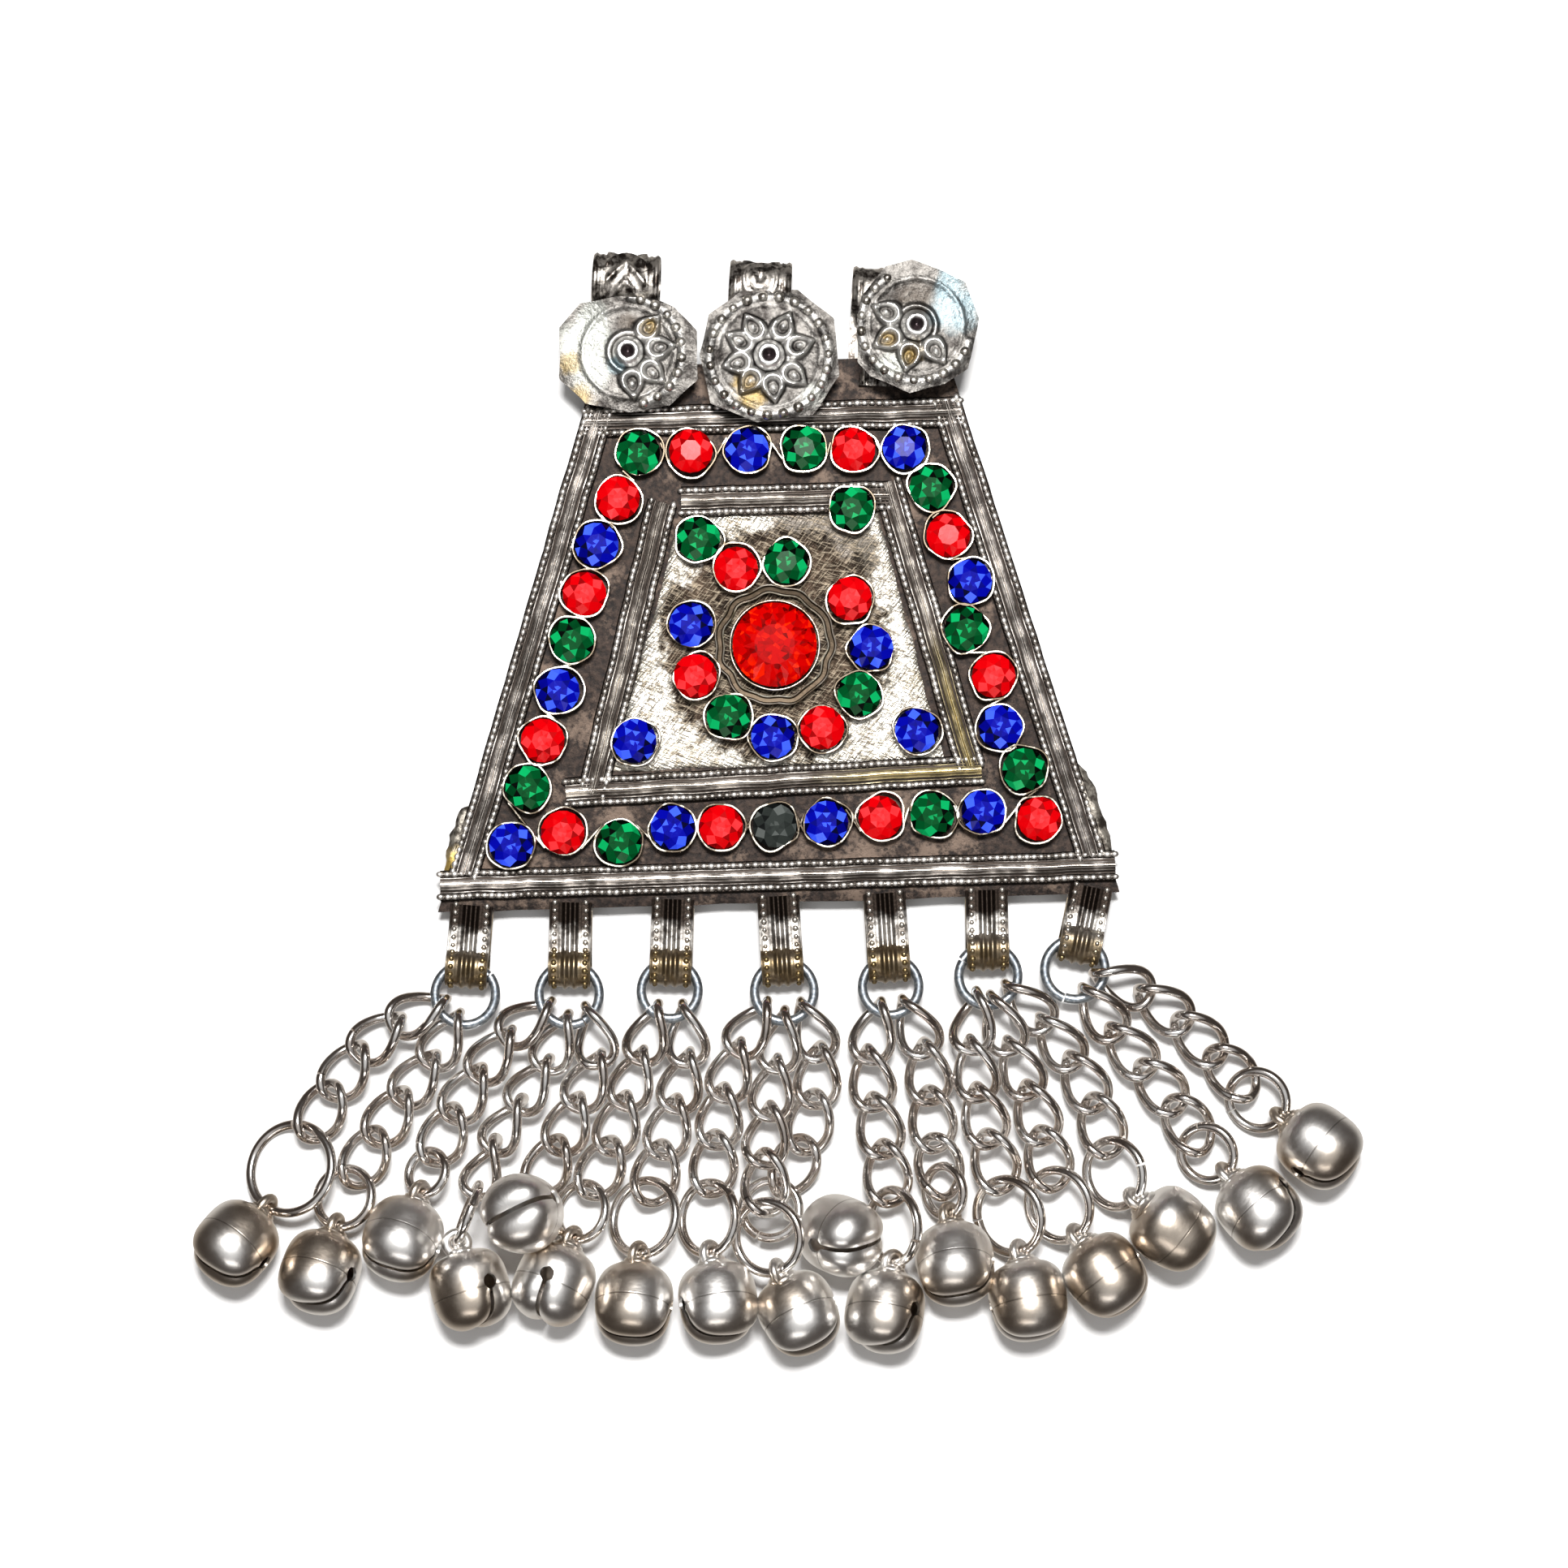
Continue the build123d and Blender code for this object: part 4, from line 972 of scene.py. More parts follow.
def wall_section(wall, height, foot=0.0):
    """The section of a thin upright wall with a rounded top, sunk by foot into what it stands on."""
    half = wall / 2
    return (
        (half, -foot), (half, height - WALL_TOP_ROUND), (half - WALL_TOP_ROUND, height),
        (WALL_TOP_ROUND - half, height), (-half, height - WALL_TOP_ROUND), (-half, -foot),
    )


def ring_path(middle, radius, steps, uneven=0.0, height=SHEET_FACE, waves=0, swing=0.0):
    """A closed path round a plan point, a little out of true or in waves."""
    path = []
    for index in range(steps):
        angle = 2 * math.pi * index / steps
        way = Vector((math.cos(angle), math.sin(angle), 0))
        shift = noise.noise((middle + way * radius) * 0.45) * uneven
        path.append(middle + way * (radius + shift + swing * math.cos(waves * angle)) + UP * height)
    return path


def stone_places(stones, height=0.0):
    return [sheet_point(*on_sheet(across, up), height) for colour, across, up in stones]


def strayed(middle):
    """A plan point a little aside, as a bezel stands about its stone."""
    aside = wander(middle, 0.31, BEZEL_STRAY)
    return middle + Vector((aside.x, aside.y, 0))


def add_bezel(shape, middle, floor, foot=0.0):
    """A stone's bezel, and how high it stands."""
    height = BEZEL_HEIGHT + 0.12 * noise.noise(middle * 0.7)
    path = ring_path(strayed(middle), BEZEL_RADIUS, BEZEL_STEPS, BEZEL_UNEVEN, floor)
    shape.strip(path, wall_section(BEZEL_WALL, height, foot), closed=True)
    return height


bezels = Shape()
outer_places = stone_places(OUTER_STONES)
for index, middle in enumerate(outer_places):
    height = add_bezel(bezels, middle, SHEET_FACE)
    before = outer_places[index - 1]
    step = middle - before
    if step.length > 2 * BEZEL_RADIUS:
        spread = math.acos(2 * BEZEL_RADIUS / step.length)
        away = math.atan2(step.y, step.x)
        for side in (1, -1) if index in DOUBLE_STRIPS else (1 if index % 2 else -1,):
            ends = []
            for stone_middle, angle in ((before, away), (middle, away + math.pi)):
                angle += side * spread
                ends.append(stone_middle + Vector((math.cos(angle), math.sin(angle), 0)) * BEZEL_RADIUS)
            path = [ends[0].lerp(ends[1], share / 4) + UP * SHEET_FACE for share in range(5)]
            bezels.strip(path, wall_section(BEZEL_WALL, height - 0.1))
for middle in stone_places(INNER_STONES + CORNER_STONES):
    add_bezel(bezels, middle, PANEL_FACE, BEZEL_FOOT)
bezel_metal = finish("bezel_silver", bezel_silver)
placed(crisp(bezels.piece("bezels", bezel_metal)), "plate_metal", "base_plate")

# Collar of the centre stone: a scalloped strip with two raised edges, round a thin wall
collar = Shape()
centre_middle = sheet_point(*on_sheet(*CENTRE_STONE), 0)
collar_middle = (COLLAR_INNER + COLLAR_OUTER) / 2
COLLAR_SECTION = (
    (0.46, -0.2), (0.46, 1.24), (0.42, 1.3), (0.35, 1.26), (0.31, 0.8), (0.2, 0.66), (-0.16, 0.62),
    (-0.27, 0.72), (-0.32, 1.08), (-0.38, 1.12), (-0.44, 1.06), (-0.46, -0.2),
)
SCALLOPS = 11
SCALLOP_SWING = 0.13
scallops = ring_path(centre_middle, collar_middle, 16 * SCALLOPS, 0.4, PANEL_FACE, SCALLOPS, SCALLOP_SWING)
collar.strip(scallops, COLLAR_SECTION, closed=True)
centre_wall = ring_path(centre_middle, CENTRE_RADIUS + 0.25, 96, 0.05, PANEL_FACE)
collar.strip(centre_wall, wall_section(0.16, 1.55, BEZEL_FOOT), closed=True)
collar_metal = finish("collar_silver", collar_silver)
placed(crisp(collar.piece("centre_collar", collar_metal)), "plate_metal", "base_plate")


# Solder lumps outside the lower corners
LUMP_RADIUS = 1.012
LUMP_ROUGH = 0.45
LUMP_RINGS = 22
LUMP_TURNS = 20


def add_lump(shape, side, low, length):
    """A long rough lump on one side edge, from a height above the bottom edge."""
    foot = sheet_point(*on_side_edge(side, low), SHEET_MIDDLE)
    head = sheet_point(*on_side_edge(side, low + length), SHEET_MIDDLE)
    run = (head - foot).normalized()
    across = run.cross(UP).normalized()
    first = len(shape.points)
    for ring in range(LUMP_RINGS + 1):
        pole = math.pi * ring / LUMP_RINGS
        middle = foot.lerp(head, (1 - math.cos(pole)) / 2)
        for index in range(LUMP_TURNS):
            turn = 2 * math.pi * index / LUMP_TURNS
            way = (across * math.cos(turn) + UP * math.sin(turn)) * math.sin(pole) - run * math.cos(pole)
            point = middle + way * LUMP_RADIUS
            shape.points.append(point + way * noise.noise(point * 0.9) * LUMP_ROUGH)
    shape.faces += grid_faces(LUMP_RINGS + 1, LUMP_TURNS, first, closed=True, turned=True)


lumps = Shape()
add_lump(lumps, -1, side_low, 5.6)
add_lump(lumps, 1, side_low, 8.4)
placed(lumps.piece("solder_lumps", finish("solder", solder)), "plate_metal", "base_plate")

# Cut stones. Reaches are shares of the stone's radius, and tones, the painted reflection of each facet, go
# from 0, deep, to 1, light
STONE_HEART = 0.216
STONE_TABLE = 0.48
STAR_REACH = 0.76
STAR_RISE = 0.62
STONE_FOOT = 0.97


def painted_facet_tone(index, spread, base=0.5):
    """How light a facet's painted reflection shows, by turns around the stone."""
    return base + spread * (0.5 * math.sin(index * 2.4 + 0.7) + 0.5 * math.sin(index * 5.1 + 2.0))


def cut_stone(radius, girdle, crown, spread, painted_table_tone, table_spread, sides=8):
    """A brilliant cut stone about the origin, its girdle's foot at no height, each facet carrying the tone of
    its painted reflection.
    """
    points = [Vector((0, 0, girdle + crown))]
    faces = []

    def ring(reach, height, count, turn=0.0):
        first = len(points)
        for index in range(count):
            angle = 2 * math.pi * (index + turn) / count
            away = radius * reach
            points.append(Vector((away * math.cos(angle), away * math.sin(angle), height)))
        return first

    def facet(tone, *corners):
        faces.append((corners, tone))

    def on_table(turns):
        return painted_table_tone + table_spread * (painted_facet_tone(turns, 1) - 0.5)

    heart = ring(STONE_HEART, girdle + crown, sides, 0.5)
    table = ring(STONE_TABLE, girdle + crown, sides)
    star = ring(STAR_REACH, girdle + crown * STAR_RISE, sides, 0.5)
    rim = ring(1.0, girdle, 2 * sides)
    foot = ring(STONE_FOOT, 0.0, 2 * sides)
    for index in range(sides):
        after = (index + 1) % sides
        before = (index - 1) % sides
        even, odd = rim + 2 * index, rim + 2 * index + 1
        inner, outer = on_table(index * 3), on_table(index * 2 + 3)
        facet(inner, 0, heart + before, heart + index)
        facet(outer, heart + index, table + index, table + after)
        facet(0.5 * (inner + outer) - 0.08, heart + before, table + index, heart + index)
        facet(painted_facet_tone(index * 3 + 1, spread, 0.3), table + index, star + index, table + after)
        facet(painted_facet_tone(index * 2, spread, 0.62), table + index, star + before, even, star + index)
        facet(painted_facet_tone(index * 5 + 2, spread, 0.24), star + index, even, odd)
        facet(painted_facet_tone(index * 7 + 4, spread, 0.36), star + index, odd, rim + 2 * after)
    for index in range(2 * sides):
        after = (index + 1) % (2 * sides)
        facet(0.2, rim + index, foot + index, foot + after, rim + after)
    facet(0.1, *range(foot + 2 * sides - 1, foot - 1, -1))
    mesh = bpy.data.meshes.new("stone")
    mesh.from_pydata([tuple(point * MM) for point in points], [], [corners for corners, tone in faces])
    laid = mesh.uv_layers.new(name="lay")
    for polygon, (corners, tone) in zip(mesh.polygons, faces):
        for corner in polygon.loop_indices:
            laid.data[corner].uv = (tone, 0)
    return linked("stone", mesh)


def stone_form():
    """A stone at each point, each turned its own way and sitting a little askew."""
    group, keys, tree, given = form_tree(
        "set stones", {"Stone": "Object", "Tilt": "Float", "Seed": "Int", "Material": "Material"}
    )
    stone = tree.node("GeometryNodeObjectInfo", {}, {"Object": given["Stone"]}, "Geometry")
    tilt = given["Tilt"]
    turn = tree.node(
        "FunctionNodeRandomValue", {"data_type": "FLOAT_VECTOR"},
        {0: tree.node("ShaderNodeCombineXYZ", {}, {0: tilt * -1, 1: tilt * -1, 2: 0.0}),
         1: tree.node("ShaderNodeCombineXYZ", {}, {0: tilt, 1: tilt, 2: 2 * math.pi}),
         "Seed": given["Seed"]},
    )
    stones = tree.node(
        "GeometryNodeInstanceOnPoints", {}, {"Points": given["Geometry"], "Instance": stone, "Rotation": turn}
    )
    real = tree.node("GeometryNodeRealizeInstances", {}, {0: stones})
    glass = tree.node("GeometryNodeSetMaterial", {}, {"Geometry": real, "Material": given["Material"]})
    tree.node("NodeGroupOutput", {}, {0: glass})
    return group, keys


STONES = stone_form()


def set_stones(name, places, stone, glass, slot, node, seed, tilt=0.035):
    """Stones of one kind at these places, each tilted by up to tilt radians."""
    mesh = bpy.data.meshes.new(name)
    mesh.from_pydata([tuple(place * MM) for place in places], [], [])
    shape = linked(name + "_places", mesh)
    formed(shape, STONES, {"Stone": stone, "Tilt": tilt, "Seed": seed, "Material": glass})
    placed(made_plain(shape, name), slot, node)
    bpy.data.objects.remove(stone)


# By colour: shades, spread of the facets' painted reflection tones, tone of the table's painted highlight and
# its spread, painted glow, seed
SMALL_CUTS = {
    "red": (RED_GLASS, 0.36, 0.84, 0.12, 0.07, 5), "green": (GREEN_GLASS, 0.66, 0.6, 0.42, 0.03, 12),
    "blue": (BLUE_GLASS, 0.7, 0.56, 0.5, 0.07, 21), "dark": (DARK_GLASS, 0.6, 0.5, 0.4, 0.0, 2),
}
STONE_SEAT = 0.1
for colour, (shades, spread, painted_table_tone, table_spread, painted_glow, seed) in SMALL_CUTS.items():
    places = []
    for stones, floor in ((OUTER_STONES, SHEET_FACE), (INNER_STONES + CORNER_STONES, PANEL_FACE)):
        own = [stone for stone in stones if stone[0] == colour]
        places += stone_places(own, floor + STONE_SEAT)
    stone = cut_stone(STONE_RADIUS, STONE_GIRDLE, STONE_CROWN, spread, painted_table_tone, table_spread)
    slot = colour + "_glass"
    glass = finish(slot, cut_glass(*shades, painted_glow))
    set_stones(colour + "_cut_stones", places, stone, glass, slot, colour + "_stones", seed)

CENTRE_GIRDLE = 1.9
CENTRE_CROWN = 1.0
CENTRE_SIDES = 16
stone = cut_stone(CENTRE_RADIUS, CENTRE_GIRDLE, CENTRE_CROWN, 0.62, 0.45, 0.5, CENTRE_SIDES)
centre_place = centre_middle + UP * (PANEL_FACE + STONE_SEAT)
# The centre glass glows a little as painted light, and its small cells are painted glints.
centre_glass = finish("centre_glass", cut_glass(*CENTRE_GLASS, 0.05, 0.7))
set_stones(
    "centre_cut_stone", [centre_place], stone, centre_glass, "centre_glass", "centre_stone", 4, 0.0
)

# Rosette discs: thin sheet stamped from behind, cut out a little roughly
DISC_TURNS = 200
BOSS_RINGS = 12
BOSS_HEIGHT = 1.55
DIMPLE_DEPTH = 0.95
DISC_RINGS = 40
RIM_DROPS = (0.16, 0.5)
RIM_DRAWN_IN = 0.992
RIM_RING_IN = 0.82  # the thin ring lies inside the beads
RIM_SHIFT = 0.04  # the beads lie against the rim
LEAF_LENGTH = 1.6
LEAF_WIDTH = 1.12


def outline_reach(corners, angle):
    """Distance from the middle to the outline in one direction."""
    way = Vector((math.cos(angle), math.sin(angle)))
    best = 1.0
    for start, end in zip(corners, corners[1:] + corners[:1]):
        edge = end - start
        cross = way.x * edge.y - way.y * edge.x
        if abs(cross) < 1e-9:
            continue
        reach = (start.x * edge.y - start.y * edge.x) / cross
        share = (start.x * way.y - start.y * way.x) / cross
        if reach > 0 and -1e-6 <= share <= 1 + 1e-6:
            best = reach
    return best


def swell(value, middle, width):
    return math.exp(-((value - middle) / width) ** 2)


def leaf_relief(x, y, direction):
    """A leaf's raised edge and its vein, in one direction from the boss."""
    turn = math.radians(direction)
    share = (x * math.cos(turn) + y * math.sin(turn) - LEAF_RADIUS) / LEAF_LENGTH
    side = -x * math.sin(turn) + y * math.cos(turn)
    if abs(share) >= 1.3:
        return 0.0
    half = LEAF_WIDTH * (1 - 0.42 * share) * max(0.05, 1 - max(0, share) ** 2 * 0.55)
    form = math.hypot(share, side / half)
    return max(0.72 * swell(form, 0.8, 0.26), 0.34 * swell(form, 0.0, 0.32))


def disc_relief(x, y, leaves, bead_ring, beads, first):
    """Height of the stamped pattern over a plan point of the disc."""
    radius = math.hypot(x, y)
    height = max((leaf_relief(x, y, direction) for direction in leaves), default=0.0)
    height = max(height, 0.13 * swell(radius, bead_ring - RIM_RING_IN, 0.3))
    height = max(height, 0.3 * swell(radius, BOSS_RADIUS + 0.35, 0.3))
    around = (math.degrees(math.atan2(y, x)) - first) % 360
    if around < beads * 360 / BEADS_ROUND:
        height = max(height, 0.24 * swell(radius, bead_ring, 0.55))
    return height


def disc_frame(place, rise, height, tilt):
    """Middle and ways across, up and out of a disc that is tilted about its upright."""
    middle = sheet_point(SHEET_SKEW + place * SHEET_TOP / 2, SHEET_HEIGHT + rise, height)
    turn = Matrix.Rotation(SHEET_TURN, 3, "Z") @ Matrix.Rotation(math.radians(tilt), 3, "Y")
    return middle, turn


def disc_piece(name, middle, turn, outline, leaves, bead_ring, first, beads, metal):
    """A stamped disc: rings of points over the boss, then out to the rim and round it."""
    shape = Shape()
    corners = [Vector(corner) * DISC_RADIUS for corner in outline]
    angles = [2 * math.pi * index / DISC_TURNS for index in range(DISC_TURNS)]

    def put(x, y, height, relief, radius):
        shape.points.append(middle + turn @ Vector((x, y, height)))
        shape.lay.append((relief, radius))

    for ring in range(BOSS_RINGS):
        radius = BOSS_RADIUS * math.sin(math.pi / 2 * (ring + 0.35) / BOSS_RINGS)
        dome = BOSS_HEIGHT * (1 - (radius / BOSS_RADIUS) ** 3.6) - DIMPLE_DEPTH * swell(radius, 0, 0.72)
        for angle in angles:
            put(radius * math.cos(angle), radius * math.sin(angle), DISC_THICK + dome, dome, radius)
    for share, low, drawn in (
        *((ring / DISC_RINGS, 0.0, 1) for ring in range(DISC_RINGS + 1)),
        *((1.0, drop, RIM_DRAWN_IN) for drop in RIM_DROPS),
    ):
        for angle in angles:
            reach = outline_reach(corners, angle) + 0.1 * noise.noise(Vector((angle * 3, len(name), 0)))
            radius = BOSS_RADIUS + (reach - BOSS_RADIUS) * share
            x, y = radius * math.cos(angle), radius * math.sin(angle)
            relief = disc_relief(x, y, leaves, bead_ring, beads, first)
            bent = noise.noise(Vector((x * 0.22, y * 0.22, len(name)))) * 0.5 * share
            put(x * drawn, y * drawn, DISC_THICK + relief - 0.1 + bent - low, relief, radius)
    last = len(shape.points) - DISC_TURNS
    shape.faces = grid_faces(last // DISC_TURNS + 1, DISC_TURNS, closed=True, turned=True)
    under, top = len(shape.points), len(shape.points) + 1
    put(0, 0, 0.1, 0, 0)
    put(0, 0, DISC_THICK + BOSS_HEIGHT - DIMPLE_DEPTH, BOSS_RADIUS, 0)
    for index in range(DISC_TURNS):
        after = (index + 1) % DISC_TURNS
        shape.faces += [(last + index, last + after, under), (index, top, after)]
    return crisp(shape.piece(name, metal), 60)


# Rolled strips: a leg over each face of the sheet, and the eye between them
LEG_STEP = 0.55


def rolled_path(middle, outward, reach, radius, wall, step=7):
    """The strip's underside line: front leg, round the eye by steps in degrees, back leg."""
    inner = radius - wall
    front = FRONT_LEG - middle.z
    back = BACK_LEG - middle.z
    start = 180 - math.degrees(math.asin(min(1, front / inner)))
    end = math.degrees(math.asin(min(1, -back / inner))) - 180
    leg = reach + inner * math.cos(math.radians(start))
    path = [
        middle - outward * (reach - index * LEG_STEP) + UP * front
        for index in range(max(1, int(leg / LEG_STEP)))
    ]
    for count in range(int((start - end) / step) + 1):
        angle = math.radians(start - count * step)
        path.append(middle + (outward * math.cos(angle) + UP * math.sin(angle)) * inner)
    tail = middle - outward * math.sqrt(inner**2 - back**2) + UP * back
    foot = middle - outward * reach + UP * back
    path += [tail.lerp(foot, share) for share in (0.25, 0.5, 0.75, 1.0)]
    smooth = [
        before * 0.25 + here * 0.5 + after * 0.25
        for before, here, after in zip(path, path[1:], path[2:])
    ]
    return [path[0], *smooth, path[-1]]


def relief_section(width, wall, cells):
    """A flat strip's section with many points over its outer face."""
    half = width / 2
    outer = [(half - 0.06 - (width - 0.12) * index / cells, wall) for index in range(cells + 1)]
    return [(half, 0.0), (half, wall - 0.08), *outer, (-half, wall - 0.08), (-half, 0.0)]


def side_rails(across, half):
    """A rail along each edge of a strip, and a fine line inside it."""
    return 0.22 * swell(abs(across), half - 0.32, 0.22) + 0.12 * swell(abs(across), half - 0.95, 0.16)


def chevron_bail(across, along):
    inside = abs(across) < 2.1
    fold = (abs(across) * 0.9 + along) % 1.7
    return side_rails(across, 3.5) + inside * 0.34 * swell(fold, 0.85, 0.3)


def boss_bail(across, along):
    """A dimpled boss in a ring at the eye's top, and chevrons along the legs."""
    gap = math.hypot(across, along - 12.4)
    if gap < 2.3:
        relief = 0.5 * swell(gap, 0.0, 1.1) - 0.55 * swell(gap, 0.0, 0.5) + 0.2 * swell(gap, 1.75, 0.22)
    else:
        fold = (along - abs(across) * 0.8) % 2.1
        relief = 0.2 * swell(fold, 1.0, 0.4) * (abs(across) < 1.9)
    return side_rails(across, 3.25) + relief


def ridge_bail(across, along):
    return side_rails(across, 3.0) + 0.2 * swell(abs(across), 0.0, 0.3)


LEG_FOOT = 0.6
LEG_WIDENS = 9.0


def leg_taper(along):
    """The front leg widens from its foot, behind the disc, up to the eye."""
    return LEG_FOOT + (1 - LEG_FOOT) * min(1.0, along / LEG_WIDENS) ** 2


BAIL_RELIEFS = {"left": chevron_bail, "middle": boss_bail, "right": ridge_bail}
disc_metal = finish("stamped_disc", stamped_disc)
rim_bead_metal = finish("rim_bead_silver", rim_bead_silver)
bail_metal = finish("bail_silver", bail_silver)
BEAD_ARC_STEPS = 72
BEAD_SEAT = DISC_THICK + 0.05
bail_way = Matrix.Rotation(SHEET_TURN + BAIL_SLOPE, 3, "Z")
for (name, bail_place, bail_width, disc_place, disc_rise, disc_height, tilt,
        outline, leaves, bead_share, first, beads) in HANGERS:
    node = "hanger_" + name
    along = SHEET_SKEW + bail_place * SHEET_TOP / 2
    bail_rise = BAIL_RISE + along * math.tan(BAIL_SLOPE)
    eye = sheet_point(along, SHEET_HEIGHT + bail_rise, BAIL_RADIUS)
    bail = Shape()
    bail.strip(
        rolled_path(eye, bail_way @ Vector((0, 1, 0)), bail_rise + BAIL_GRIP, BAIL_RADIUS, BAIL_WALL, 5),
        relief_section(bail_width, BAIL_WALL - 0.15, 44), bail_way @ Vector((1, 0, 0)), BAIL_RELIEFS[name],
        taper=leg_taper,
    )
    placed(crisp(bail.piece("bail_" + name, bail_metal), 50), "hanger_metal", node)
    middle, turn = disc_frame(disc_place, disc_rise, disc_height, tilt)
    bead_ring = (bead_share + RIM_SHIFT) * DISC_RADIUS
    disc = disc_piece("disc_" + name, middle, turn, outline, leaves, bead_ring, first, beads, disc_metal)
    placed(disc, "hanger_metal", node)
    sweep = math.radians((beads - 1) * 360 / BEADS_ROUND)
    row = []
    for count in range(BEAD_ARC_STEPS + 1):
        angle = math.radians(first) + sweep * count / BEAD_ARC_STEPS
        on_disc = Vector((bead_ring * math.cos(angle), bead_ring * math.sin(angle), BEAD_SEAT))
        row.append(middle + turn @ on_disc)
    pitch = 2 * math.pi * bead_ring / BEADS_ROUND
    placed(
        bead_piece(node + "_beads", [row], rim_bead_metal, pitch, 0.56, 0.52, 0.48, beads),
        "hanger_metal", node,
    )

# Loops: strips with two rows of beads and two ridges, each through its jump ring
LOOP_BEAD_ROW = 1.62
RING_CUTS = (40, 300, 220, 65, 115, 150, 250)  # where each jump ring is cut, in degrees
RING_GAP = 0.05
RING_SPRUNG = 0.12


def loop_relief(across, along):
    ridges = 0.3 * swell(abs(across), 0.48, 0.3)
    return ridges + 0.1 * swell(abs(across), 2.1, 0.14) + 0.05 * swell(abs(across), 1.05, 0.12)


loop_metal = finish("loop_silver", loop_silver)
loop_bead_metal = finish("loop_bead_silver", loop_bead_silver)
zinc_metal = finish("zinc", zinc)
RING_STEPS = 72
for index, (share, (ring_x, ring_y, ring_outer)) in enumerate(zip(LOOP_PLACES, JUMP_RINGS)):
    number = str(index + 1)
    edge = sheet_point(share * SHEET_BOTTOM / 2, 0, SHEET_MIDDLE)
    ring_middle = Vector((ring_x, ring_y, SHEET_MIDDLE))
    ring_radius = (ring_outer - JUMP_WIRE) / 2
    outward = (ring_middle - edge).normalized()
    eye = ring_middle - outward * (ring_radius - JUMP_SEAT)
    path = rolled_path(eye, outward, (eye - edge).length + LOOP_GRIP, LOOP_RADIUS, LOOP_WALL)
    side = outward.cross(UP)
    loop = Shape()
    loop.strip(path, relief_section(LOOP_WIDTH, LOOP_WALL - 0.12, 36), side, loop_relief)
    placed(crisp(loop.piece("strip_loop_" + number, loop_metal), 50), "loop_metal", "loop_" + number)
    rows = []
    for way in (-1, 1):
        row = []
        for here, after in zip(path, path[1:]):
            rise = side.cross((after - here).normalized())
            row.append(here + side * way * LOOP_BEAD_ROW + rise * (LOOP_WALL - 0.1))
        rows.append(row[:-2])
    beads = bead_piece("loop_beads_" + number, rows, loop_bead_metal, 0.82, 0.31, 0.31, 0.31, index)
    placed(beads, "loop_metal", "loop_" + number)

    ring = []
    for step in range(RING_STEPS):
        turns = step / (RING_STEPS - 1)
        angle = math.radians(RING_CUTS[index]) + (2 * math.pi - RING_GAP) * turns
        lift = RING_SPRUNG * (turns - 0.5)
        ring.append(Vector((
            ring_x + (ring_radius + lift) * math.cos(angle), ring_y + (ring_radius + lift) * math.sin(angle),
            JUMP_HEIGHT + lift,
        )))
    ring_shape = line_shape("ring")
    add_line(ring_shape, ring, JUMP_WIRE)
    placed(
        wire_piece("zinc_ring_" + number, ring_shape, zinc_metal, 16),
        "jump_ring_metal", "jump_ring_" + number,
    )

# Strands: four curb links and an end ring each, laid as the source lays them
LINK_HALF = (LINK_LENGTH - LINK_WIRE) / 2
LINK_SPREAD = (LINK_WIDTH - LINK_WIRE) / 2
HOOK_HALF = (LINK_WIRE + LINK_GAP) / 2
LINK_PITCH = 2 * LINK_HALF - 2 * HOOK_HALF
LINK_EASE = 0.78
LINK_STEPS = 44
CUT_ANGLE = 1.1
CUT_GAP = 0.03
END_RING_GAP = 0.06
END_RING_SPRUNG = 0.1


def crossings(start, route, heights):
    """Points a link's pitch apart over the plan route, at the given heights."""
    points = [start]
    legs = list(zip([start] + route, route))
    leg = 0
    share = 0.0
    for height in heights:
        while True:
            on_leg = min(leg, len(legs) - 1)
            foot, head = legs[on_leg]
            plan = foot + (head - foot) * (share + leg - on_leg)
            here = Vector((plan.x, plan.y, height))
            if (here - points[-1]).length >= LINK_PITCH:
                break
            share += ROUTE_STEP
            if share >= 1:
                leg += 1
                share -= 1
        points.append(here)
    return points


def flat(point):
    return Vector((point[0], point[1], 0))


